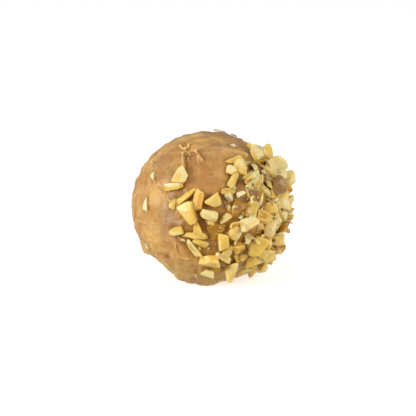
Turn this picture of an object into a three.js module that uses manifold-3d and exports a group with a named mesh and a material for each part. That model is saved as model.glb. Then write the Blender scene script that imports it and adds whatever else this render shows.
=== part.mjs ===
// A hot chocolate sphere: a hand-coated milk chocolate ball that stands on a small flat spot,
// with chopped nuts stuck in the coat of its right-hand side and a few stray bits elsewhere.
// Millimetres and degrees, +Z up. The origin is the centre of the flat spot, and -Y is the front.

import * as THREE from "three";
import { mergeVertices } from "three/addons/utils/BufferGeometryUtils.js";
import Module from "manifold-3d";

// The ball
const BALL_RADIUS = 25;
const FOOT_RADIUS = 6.5;
const CENTRE_HEIGHT = Math.sqrt(BALL_RADIUS ** 2 - FOOT_RADIUS ** 2);
const BALL_DETAIL = 9;

// Marks on the ball are given as seen from the front, this far above the horizon:
// across to the right and up from the ball's centre, in millimetres.
const FRONT_LIFT = THREE.MathUtils.degToRad(15);
const RIGHT = new THREE.Vector3(1, 0, 0);
const UPWARD = new THREE.Vector3(0, Math.sin(FRONT_LIFT), Math.cos(FRONT_LIFT));
const TOWARD = new THREE.Vector3(0, -Math.cos(FRONT_LIFT), Math.sin(FRONT_LIFT));
const VIEW_DISTANCE = 765;

// Lumps of the coat that show in its outline: across, up, height, and spread in degrees
const COAT_MARKS = [
  [-16.1, 19.2, 0.6, 38],
  [-16.8, -18.4, -1.1, 15],
  [-20.6, -14.2, 1.3, 5],
  [-8.6, -23.4, 0.7, 7],
  [-0.5, -24.9, 1.3, 9],
  [5.6, -24.3, -0.9, 7],
  [-7.4, 18.2, -0.5, 6],
  [-8.8, 2.5, -0.5, 9],
  [2.0, 11.5, -0.5, 16],
];

// Shallow lumps all over, from a hand turning the ball as its coat sets
const LUMP_COUNT = 34;
const LUMP_HEIGHT = 0.42;
const LUMP_SPREAD = [8, 17];

// Chopped nuts that can be told apart: kind, across, up, length, width, turn of the length in the view, how
// much it narrows along that turn, how far its face turns from the coat towards the front, from 0 to 1, and
// roll about its length
const PLACED_NUTS = [
  ["dice", -8.9, 11.1, 6.0, 3.8, 98, 0.8, 0.1, 12],
  ["dice", -11.4, 7.2, 6.6, 2.2, 0, 0.05, 0.1, 24],
  ["sliver", -7.3, 3.5, 8.2, 2.2, 38, 0.1, 0, 30],
  ["dice", -3.2, 2.3, 6.3, 3.2, 76, 0.1, 0, -10],
  ["dice", 1.7, 2.4, 5.2, 3.5, 184, 0.75, 0.1, -15],
  ["dice", -6.3, -2.0, 7.4, 4.2, -62, 0.5, 0, 10],
  ["dice", 23.5, -10.6, 3.9, 3.5, 10, 0.05, 0.8, 0],
  ["chunk", -3.7, -6.3, 4.4, 2.0, 100, 0.4, 0, 0],
  ["chip", -10.6, -7.7, 5.0, 3.6, 197, 0.5, 0.2, 30],
  ["dice", -4.4, -9.1, 7.3, 2.0, 180, 0.25, 0, 12],
  ["chip", -2.4, -11.5, 5.0, 2.4, -28, 0, 0, -12],
  ["sliver", -4.6, -13.6, 7.2, 2.0, -59, 0.35, 0, 0],
  ["chunk", 0.4, -17.6, 6.4, 4.6, -6, 0.1, 0.2, 10],
  ["chip", 2.4, -20.4, 3.9, 2.4, -15, 0.1, 0.2, 0],
  ["chunk", -0.1, -21.8, 3.8, 2.8, 150, 0.2, 0.3, 20],
  ["chunk", 7.7, -21.2, 5.8, 3.9, -82, 0.28, 0.6, 15],
  ["bean", 9.0, -8.1, 5.0, 4.3, 60, 0.1, 0.1, 0],
  ["dice", 5.0, -11.0, 5.0, 3.4, -80, 0.12, 0, 10],
  ["chunk", 6.7, -14.0, 4.2, 2.6, 75, 0.15, 0.1, -10],
  ["sliver", 5.3, -16.2, 5.6, 2.2, -40, 0.1, 0.2, 0],
  ["dice", 10.0, -13.1, 4.0, 3.2, 32, 0.1, 0.1, 15],
  ["dice", 13.4, -5.3, 6.2, 3.6, 22, 0.1, 0.4, -32],
  ["chunk", 5.6, -3.4, 4.2, 2.1, 32, 0.1, 0, 10],
  ["chip", 2.8, -6.8, 5.4, 2.8, 5, 0.2, 0, 0],
  ["chip", 10.6, 0.6, 6.6, 4.4, 10, 0.5, 0, 0],
  ["chip", 6.9, 5.3, 4.8, 2.2, 185, 0.2, 0, 10],
  ["chip", 8.3, 9.2, 6.0, 2.4, 60, 0.05, 0.1, 15],
  ["dice", 7.7, 12.5, 3.2, 2.8, -15, 0.05, 0.1, 20],
  ["chip", 10.8, 13.9, 5.4, 4.4, 75, 0.2, 0.4, 0],
  ["chip", 8.5, 15.7, 5.6, 1.9, 202, 0.5, 0.4, 0],
  ["petal", 14.6, 10.8, 6.2, 3.4, 20, 0, 0.4, 0],
  ["petal", 15.6, 8.1, 6.4, 3.2, 40, 0.2, 0.4, 0],
  ["petal", 18.4, 6.2, 6.8, 2.6, -28, 0.1, 0.5, 0],
  ["petal", 16.1, 17.8, 6.4, 4.0, -72, 0.5, 0.7, 0],
  ["petal", 19.7, 17.4, 7.6, 4.2, -68, 0.4, 0.7, 0],
  ["petal", 22.6, 13.6, 7.6, 5.8, 40, 0, 0.7, 0],
  ["petal", 26.2, 9.6, 6.4, 5.2, 10, 0, 0.8, 0],
  ["chunk", 23.3, 7.8, 6.3, 4.4, 100, 0.2, 0.7, 0],
  ["petal", 24.8, 2.9, 6.6, 5.4, 80, 0.1, 0.7, 0],
  ["petal", 20.0, 9.4, 5.3, 1.5, 100, 0.2, 0.5, 0],
  ["sliver", 17.6, 3.0, 4.8, 1.3, 70, 0.2, 0.5, 0],
  ["petal", 14.1, -0.6, 6.0, 5.0, 60, 0.1, 0.3, 0],
  ["bean", 20.8, 0.0, 5.0, 3.6, -6, 0.1, 0.6, 0],
  ["chip", 22.3, -4.1, 3.8, 3.4, 30, 0.1, 0.7, 0],
  ["sliver", 24.7, -6.7, 5.8, 2.4, 45, 0.2, 0.8, 0],
  ["bean", 20.4, -7.0, 5.2, 4.2, 80, 0.1, 0.6, 0],
  ["dice", 0.3, -2.4, 5.6, 3.4, -28, 0, 0, 36],
  ["chip", 16.0, -12.7, 6.8, 5.2, -105, 0.35, 0.4, 15],
  ["sliver", 20.0, -11.6, 4.8, 2.7, 100, 0.1, 0.6, 0],
  ["chip", 18.8, -15.4, 6.0, 4.8, -30, 0.1, 0.6, 0],
  ["chip", 15.3, -17.6, 6.0, 3.4, 6, 0.2, 0.6, 0],
  ["dice", -20.6, 1.3, 4.1, 1.7, 80, 0.65, 0.4, 0],
  ["sliver", -18.3, 10.4, 2.9, 1.4, -65, 0.5, 0.3, 0],
  ["sliver", -20.1, -12.4, 2.2, 1.1, -75, 0, 0.4, 0],
  ["chip", -11.6, 1.5, 3.6, 2.2, 75, 0.1, 0.3, 0],
  ["chip", 8.0, 20.6, 2.9, 1.4, 25, 0.2, 0.4, 0],
  ["petal", 2.9, 25.9, 2.7, 1.1, 0, 0.1, 0.3, 0],
  ["chunk", 1.2, -4.9, 2.4, 1.4, -15, 0.1, 0, 0],
  ["chip", -9.5, -9.5, 3.0, 1.4, -70, 0.1, 0, 0],
  ["chunk", -8.2, -10.6, 1.8, 1.3, 20, 0.1, 0, 0],
  ["chip", 4.5, -23.1, 3.0, 0.9, 8, 0.1, 0.4, 0],
  ["sliver", 9.5, -16.6, 4.0, 1.3, -63, 0.1, 0.2, 0],
  ["chunk", 11.9, -16.2, 3.0, 2.0, 5, 0.1, 0.3, 0],
  ["chip", 14.2, -15.0, 4.0, 1.8, -30, 0.1, 0.4, 0],
  ["chip", 12.0, -21.0, 3.6, 1.6, 5, 0.1, 0.5, 0],
  ["sliver", 14.8, -19.9, 3.0, 0.9, 20, 0.1, 0.5, 0],
  ["chip", 1.9, -9.2, 2.4, 2.3, 0, 0.1, 0, 0],
  ["chunk", 7.0, 0.1, 2.1, 1.2, 100, 0.3, 0, 0],
  ["chunk", 10.8, -3.0, 1.8, 1.5, 0, 0.1, 0.2, 0],
  ["petal", 18.2, -2.6, 4.8, 3.8, -20, 0.1, 0.5, 0],
  ["chip", 24.5, -1.7, 2.7, 2.5, 60, 0.1, 0.8, 0],
  ["chip", 17.4, -5.9, 2.6, 2.3, 0, 0.1, 0.5, 0],
  ["sliver", 13.1, 4.6, 3.9, 1.1, -63, 0.1, 0.4, 0],
  ["chunk", 10.7, 4.7, 3.1, 1.5, 25, 0.1, 0.2, 0],
  ["petal", 16.4, 5.0, 3.0, 2.4, 90, 0.1, 0.4, 0],
  ["chip", 14.1, 20.1, 3.0, 1.7, -45, 0.1, 0.7, 0],
  ["chunk", 18.3, 15.5, 1.4, 0.9, 0, 0.1, 0.5, 0],
  ["sliver", 21.4, 10.0, 3.4, 1.3, 60, 0.1, 0.6, 0],
  ["chip", 5.0, 25.4, 1.7, 1.0, 0, 0.1, 0.3, 0],
  ["chip", 8.6, 24.1, 2.3, 0.8, -30, 0.1, 0.3, 0],
];

// The side that was pressed into chopped nuts, and the even spread that carries the nuts above on round it
const NUT_SIDE = [20.5, -9];
const SPREAD_REACH = THREE.MathUtils.degToRad(72);
const SPREAD_COUNT = 150;
const SPREAD_FRONT = 0.3;
const SPREAD_KEEP_OFF = 3;
const SPREAD_KINDS = ["chunk", "petal", "chip", "sliver", "petal", "chip", "chunk"];

// Small flakes that stand up between the nuts where these lie thickest; shorter ones are left out
const FLAKE_SIDE = [20.5, 0];
const FLAKE_REACH = THREE.MathUtils.degToRad(40);
const FLAKE_COUNT = 90;
const FLAKE_KEEP_OFF = 1.4;
const SHORTEST_FLAKE = 3.2;
const FLAKE_LEAN = THREE.MathUtils.degToRad(80);

// Stray bits behind, where nothing was pressed in; no nut lies lower than this share of the radius
const STRAY_COUNT = 15;
const STRAY_RANGES = { length: [1.6, 3.0], width: [0.5, 0.8] };
const LOWEST_NUT = -0.8;

// Each kind of chopped nut: thickness as a share of the width, squareness of the corners, skew of the faces,
// wobble of the outline, curl of the flat faces as a share of the length, where the cuts across lie, and
// faces along, across and through; for the even spread also the range of lengths, of widths as a share of
// the length, and of narrowing
const NUT_KINDS = {
  chunk: {
    thick: 0.8, square: 7, skew: 0.25, wobble: 0.05, curl: 0, cut: 0.74, faces: [2, 2, 1],
    length: [3.6, 5.2], width: [0.7, 0.9], narrow: [0, 0.6],
  },
  dice: {
    thick: 0.72, square: 7, skew: 0.16, wobble: 0.04, curl: 0, cut: 0.98, faces: [2, 2, 1],
    length: [3.0, 4.6], width: [0.7, 0.95], narrow: [0, 0.3],
  },
  chip: {
    thick: 0.36, square: 6, skew: 0.18, wobble: 0.08, curl: 0.03, cut: 0.8, faces: [2, 1, 1],
    length: [3.8, 5.4], width: [0.55, 0.9], narrow: [0, 0.6],
  },
  petal: {
    thick: 0.2, square: 3.6, skew: 0.2, wobble: 0.13, curl: 0.1, cut: 0.86, faces: [2, 2, 1],
    length: [4.2, 5.8], width: [0.7, 0.95], narrow: [0, 0.4],
  },
  bean: {
    thick: 0.6, square: 2.6, skew: 0.12, wobble: 0.04, curl: 0, cut: 0.94, faces: [2, 2, 2],
    length: [3.6, 5.0], width: [0.7, 0.9], narrow: [0, 0.2],
  },
  sliver: {
    thick: 0.66, square: 5, skew: 0.25, wobble: 0.05, curl: 0.08, cut: 0.86, faces: [2, 1, 1],
    length: [4.0, 6.0], width: [0.32, 0.45], narrow: [0, 0.5],
  },
  flake: {
    thick: 0.17, square: 5, skew: 0.3, wobble: 0.16, curl: 0.12, cut: 0.8, faces: [1, 1, 1],
    length: [2.8, 5.2], width: [0.4, 0.85], narrow: [0, 0.7],
  },
};
const NUT_SINK = 0.15;
const NUT_SINK_SHARE = 0.22;
const NUT_LEAN = THREE.MathUtils.degToRad(45);

// What each repeatable draw is for; a vector takes three numbers in a row
const DRAW = {
  lumpHeight: 1, lumpSpread: 2, length: 3, width: 4, narrow: 5, skew: 10, crossSkew: 13,
  cuts: [16, 19, 42, 45], wobble: 22, turn: 30, lean: 33,
};
const SEED = 7;
const GOLDEN_ANGLE = Math.PI * (3 - Math.sqrt(5));

// A repeatable draw from 0 to 1 for the given item and purpose
function draw(item, purpose) {
  const wave = Math.sin(item * 12.9898 + purpose * 78.233 + SEED) * 43758.5453;
  return wave - Math.floor(wave);
}

function drawBetween(item, purpose, [least, most]) {
  return least + (most - least) * draw(item, purpose);
}

// Three repeatable draws from -1 to 1
function drawVector(item, purpose) {
  return new THREE.Vector3(...[0, 1, 2].map((axis) => drawBetween(item, purpose + axis, [-1, 1])));
}

// Step number `index` of `count` along an even spiral over the part of a sphere within `reach` of `pole`
function spiralDirection(index, count, pole, reach) {
  const height = 1 - ((index + 0.5) / count) * (1 - Math.cos(reach));
  const ring = Math.sqrt(1 - height * height);
  const angle = index * GOLDEN_ANGLE;
  const side = new THREE.Vector3().crossVectors(UPWARD, pole).normalize();
  const rise = new THREE.Vector3().crossVectors(pole, side);
  return new THREE.Vector3()
    .addScaledVector(side, ring * Math.cos(angle))
    .addScaledVector(rise, ring * Math.sin(angle))
    .addScaledVector(pole, height);
}

// The point of a sphere that is seen at a mark; a mark past the outline lies level with the centre
function markPoint(across, up, radius = BALL_RADIUS) {
  const depth = Math.sqrt(Math.max(0, radius ** 2 - across ** 2 - up ** 2));
  const nearer = 1 - depth / VIEW_DISTANCE;
  return new THREE.Vector3()
    .addScaledVector(RIGHT, across * nearer)
    .addScaledVector(UPWARD, up * nearer)
    .addScaledVector(TOWARD, depth);
}

function coatLumps() {
  const lumps = COAT_MARKS.map(([across, up, height, spread]) => ({
    direction: markPoint(across, up).normalize(),
    height,
    spread: THREE.MathUtils.degToRad(spread),
  }));
  for (let index = 0; index < LUMP_COUNT; index++) {
    lumps.push({
      direction: spiralDirection(index, LUMP_COUNT, TOWARD, Math.PI),
      height: drawBetween(index, DRAW.lumpHeight, [-LUMP_HEIGHT, LUMP_HEIGHT]),
      spread: THREE.MathUtils.degToRad(drawBetween(index, DRAW.lumpSpread, LUMP_SPREAD)),
    });
  }
  return lumps;
}

const LUMPS = coatLumps();

// How far the coat lies from the ball's centre in a direction
function coatRadius(direction) {
  return LUMPS.reduce((radius, lump) => {
    const share = direction.angleTo(lump.direction) / lump.spread;
    return radius + lump.height * Math.exp(-share * share);
  }, BALL_RADIUS);
}

const wasm = await Module();
wasm.setup();

function solidOf(geometry) {
  const bare = geometry.clone();
  bare.deleteAttribute("normal");
  bare.deleteAttribute("uv");
  const merged = mergeVertices(bare, 1e-4);
  return new wasm.Manifold(
    new wasm.Mesh({
      numProp: 3,
      vertProperties: merged.attributes.position.array,
      triVerts: new Uint32Array(merged.index.array),
    }),
  );
}

function geometryOf(solid) {
  const mesh = solid.getMesh();
  const geometry = new THREE.BufferGeometry();
  geometry.setAttribute("position", new THREE.BufferAttribute(mesh.vertProperties, 3));
  geometry.setIndex(new THREE.BufferAttribute(mesh.triVerts, 1));
  geometry.computeVertexNormals();
  return geometry;
}

// Moves each point of a geometry to where `moved` puts it
function reshape(geometry, moved) {
  const position = geometry.attributes.position;
  const point = new THREE.Vector3();
  for (let index = 0; index < position.count; index++) {
    point.fromBufferAttribute(position, index);
    position.setXYZ(index, ...moved(point).toArray());
  }
  return geometry;
}

function ballSolid() {
  const ball = reshape(new THREE.IcosahedronGeometry(1, BALL_DETAIL), (point) => {
    const direction = point.clone().normalize();
    return direction.multiplyScalar(coatRadius(direction));
  });
  return solidOf(ball.translate(0, 0, CENTRE_HEIGHT));
}

function floorSolid() {
  const below = new THREE.BoxGeometry(4 * BALL_RADIUS, 4 * BALL_RADIUS, BALL_RADIUS);
  return solidOf(below.translate(0, 0, -BALL_RADIUS / 2));
}

// One chopped nut about its own centre: a block with rounded corners, skewed, cut across and curled
function nutGeometry(nut) {
  const kind = NUT_KINDS[nut.kind];
  const skew = drawVector(nut.item, DRAW.skew).multiplyScalar(kind.skew);
  const crossSkew = drawVector(nut.item, DRAW.crossSkew).multiplyScalar(kind.skew).setY(-nut.narrow);
  const cuts = DRAW.cuts.map((purpose) => drawVector(nut.item, purpose).normalize());
  const phase = 2 * Math.PI * draw(nut.item, DRAW.wobble);
  const cup = nut.item % 2 === 0 ? 1 : -1;
  const half = nut.size.clone().multiplyScalar(0.5);
  const block = new THREE.BoxGeometry(2, 2, 2, ...kind.faces);
  return reshape(block, (corner) => {
    const powers = corner.toArray().map((part) => Math.abs(part) ** kind.square);
    const point = corner.clone().divideScalar((powers[0] + powers[1] + powers[2]) ** (1 / kind.square));
    const wobble = 1 + kind.wobble * Math.sin(3 * Math.atan2(point.y, point.x) + phase);
    const { x, y, z } = point;
    point.x *= wobble * (1 + skew.x * y + crossSkew.x * z);
    point.y *= wobble * (1 + skew.y * z + crossSkew.y * x);
    point.z *= 1 + skew.z * x + crossSkew.z * y;
    for (const cut of cuts) point.addScaledVector(cut, -Math.max(0, point.dot(cut) - kind.cut));
    const curl = cup * kind.curl * nut.size.x * (0.5 - x ** 2 - y ** 2);
    return point.multiply(half).setZ(point.z + curl);
  });
}

// A nut with its sizes and axes, before it has a place
function newNut(kind, item, length, width, narrow, along, out) {
  const size = new THREE.Vector3(length, width, width * NUT_KINDS[kind].thick);
  const across = new THREE.Vector3().crossVectors(out, along).normalize();
  return { kind, item, size, narrow, along: new THREE.Vector3().crossVectors(across, out), across, out };
}

// How far above the coat a nut's middle lies, so that its lowest part sinks in
function seat(nut, direction) {
  const { along, across, out, size } = nut;
  const reaches = [along, across, out].map((axis) => Math.abs(axis.dot(direction)));
  const height = size.dot(new THREE.Vector3(...reaches)) / 2;
  return height * (1 - NUT_SINK_SHARE) - NUT_SINK;
}

// A nut that can be told apart, turned as it shows from the front
function placedNut([kind, across, up, length, width, turn, narrow, stand, roll], item) {
  const direction = markPoint(across, up).normalize();
  const face = direction.clone().lerp(TOWARD, stand).normalize();
  const angle = THREE.MathUtils.degToRad(turn);
  const way = new THREE.Vector3()
    .addScaledVector(RIGHT, Math.cos(angle))
    .addScaledVector(UPWARD, Math.sin(angle));
  const side = new THREE.Vector3().crossVectors(face, way).normalize();
  const along = new THREE.Vector3().crossVectors(side, face);
  const out = face.applyAxisAngle(along, THREE.MathUtils.degToRad(roll));
  const nut = newNut(kind, item, length, width, narrow, along, out);
  nut.centre = markPoint(across, up, coatRadius(direction) + seat(nut, direction));
  return nut;
}

// A nut that lies at a direction, with its sizes, narrowing, turn and lean drawn
function strewnNut(kind, item, direction, lean = NUT_LEAN, ranges = NUT_KINDS[kind]) {
  const length = drawBetween(item, DRAW.length, ranges.length);
  const width = length * drawBetween(item, DRAW.width, ranges.width);
  const narrow = drawBetween(item, DRAW.narrow, NUT_KINDS[kind].narrow);
  const side = new THREE.Vector3().crossVectors(direction, drawVector(item, DRAW.turn)).normalize();
  const out = direction.clone().applyAxisAngle(side, drawBetween(item, DRAW.lean, [-lean, lean]));
  const nut = newNut(kind, item, length, width, narrow, new THREE.Vector3().crossVectors(side, out), out);
  nut.centre = direction.clone().multiplyScalar(coatRadius(direction) + seat(nut, direction));
  return nut;
}

function chooseNuts() {
  const nuts = PLACED_NUTS.map(placedNut);
  const placed = nuts.map((nut) => nut.centre);
  const tooClose = (direction, distance) => {
    const place = direction.clone().multiplyScalar(BALL_RADIUS);
    return placed.some((centre) => centre.distanceTo(place) < distance);
  };
  const pole = markPoint(...NUT_SIDE).normalize();
  const thickest = markPoint(...FLAKE_SIDE).normalize();
  let item = PLACED_NUTS.length;
  for (let index = 0; index < SPREAD_COUNT; index++, item++) {
    const direction = spiralDirection(index, SPREAD_COUNT, pole, SPREAD_REACH);
    if (direction.dot(TOWARD) > SPREAD_FRONT || direction.z < LOWEST_NUT) continue;
    if (tooClose(direction, SPREAD_KEEP_OFF)) continue;
    nuts.push(strewnNut(SPREAD_KINDS[item % SPREAD_KINDS.length], item, direction));
  }
  for (let index = 0; index < STRAY_COUNT; index++, item++) {
    const direction = spiralDirection(index, STRAY_COUNT, pole.clone().negate(), Math.PI / 2);
    if (direction.dot(TOWARD) > 0 || direction.z < LOWEST_NUT) continue;
    nuts.push(strewnNut("chunk", item, direction, NUT_LEAN, STRAY_RANGES));
  }
  for (let index = 0; index < FLAKE_COUNT; index++, item++) {
    const direction = spiralDirection(index, FLAKE_COUNT, thickest, FLAKE_REACH);
    if (tooClose(direction, FLAKE_KEEP_OFF)) continue;
    const flake = strewnNut("flake", item, direction, FLAKE_LEAN);
    if (flake.size.x > SHORTEST_FLAKE) nuts.push(flake);
  }
  return nuts;
}

function nutSolid(nut) {
  const placing = new THREE.Matrix4().makeBasis(nut.along, nut.across, nut.out);
  placing.setPosition(nut.centre.x, nut.centre.y, nut.centre.z + CENTRE_HEIGHT);
  return solidOf(nutGeometry(nut).applyMatrix4(placing));
}

// The ball with its nuts fused on and its flat spot cut: a hollow closed in between nuts is filled
function sphereSolid() {
  const joined = chooseNuts().reduce((whole, nut) => whole.add(nutSolid(nut)), ballSolid());
  const bodies = joined.subtract(floorSolid()).decompose();
  return bodies.reduce((best, body) => (body.volume() > best.volume() ? body : best));
}

const milkChocolate = new THREE.MeshStandardMaterial({ color: 0xc6935a, roughness: 0.5, metalness: 0 });

const sphere = new THREE.Mesh(geometryOf(sphereSolid()), milkChocolate);
sphere.name = "chocolate_sphere";

const hotChocolateSphere = new THREE.Group();
hotChocolateSphere.add(sphere);

export default hotChocolateSphere;
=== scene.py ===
# A hot chocolate sphere: a hand-coated milk chocolate ball with chopped nuts in the coat of its right side.
# The tables give millimetres and degrees, as the part's source does, and the meshes are in metres.

import math

import bpy
import numpy as np
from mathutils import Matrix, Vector


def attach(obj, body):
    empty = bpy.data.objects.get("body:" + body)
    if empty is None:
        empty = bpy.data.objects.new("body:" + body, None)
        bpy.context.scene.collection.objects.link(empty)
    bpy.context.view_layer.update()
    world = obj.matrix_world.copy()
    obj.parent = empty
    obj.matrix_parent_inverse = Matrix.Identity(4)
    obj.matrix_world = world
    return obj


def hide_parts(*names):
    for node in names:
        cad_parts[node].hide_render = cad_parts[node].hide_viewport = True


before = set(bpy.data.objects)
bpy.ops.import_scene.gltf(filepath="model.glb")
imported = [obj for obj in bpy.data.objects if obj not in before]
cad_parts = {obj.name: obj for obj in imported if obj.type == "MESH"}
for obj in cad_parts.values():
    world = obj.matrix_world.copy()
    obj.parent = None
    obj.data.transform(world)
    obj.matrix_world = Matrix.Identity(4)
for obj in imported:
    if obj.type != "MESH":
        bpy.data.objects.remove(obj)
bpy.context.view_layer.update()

bl_info = {
    "name": "Hot Chocolate Sphere",
    "version": (1, 0, 0),
    "blender": (4, 5, 0),
    "location": "3D View > Sidebar > Chocolate",
    "description": "A milk chocolate ball with smears, pulled tails, chopped nuts and crumbs",
    "category": "Add Mesh",
}

MM = 0.001
NODE = "chocolate_sphere"
BODY = "root"

# The ball, and its centre in metres
BALL_RADIUS = 25.0
FOOT_RADIUS = 6.5
CENTRE_HEIGHT = math.sqrt(BALL_RADIUS ** 2 - FOOT_RADIUS ** 2)
BALL_CENTRE = Vector((0, 0, CENTRE_HEIGHT * MM))

# Marks on the ball are given as seen from the front, this far above the horizon:
# across to the right and up from the ball's centre.
FRONT_LIFT = math.radians(15)
RIGHT = np.array((1.0, 0.0, 0.0))
UPWARD = np.array((0.0, math.sin(FRONT_LIFT), math.cos(FRONT_LIFT)))
TOWARD = np.array((0.0, -math.cos(FRONT_LIFT), math.sin(FRONT_LIFT)))
VIEW_DISTANCE = 765.0

# Lumps of the coat that show in its outline: across, up, height, and spread in degrees
COAT_MARKS = [
    (-16.1, 19.2, 0.6, 38),
    (-16.8, -18.4, -1.1, 15),
    (-20.6, -14.2, 1.3, 5),
    (-8.6, -23.4, 0.7, 7),
    (-0.5, -24.9, 1.3, 9),
    (5.6, -24.3, -0.9, 7),
    (-7.4, 18.2, -0.5, 6),
    (-8.8, 2.5, -0.5, 9),
    (2.0, 11.5, -0.5, 16),
]

# Shallow lumps all over, from a hand turning the ball as its coat sets
LUMP_COUNT = 34
LUMP_HEIGHT = 0.42
LUMP_SPREAD = (8, 17)

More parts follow.
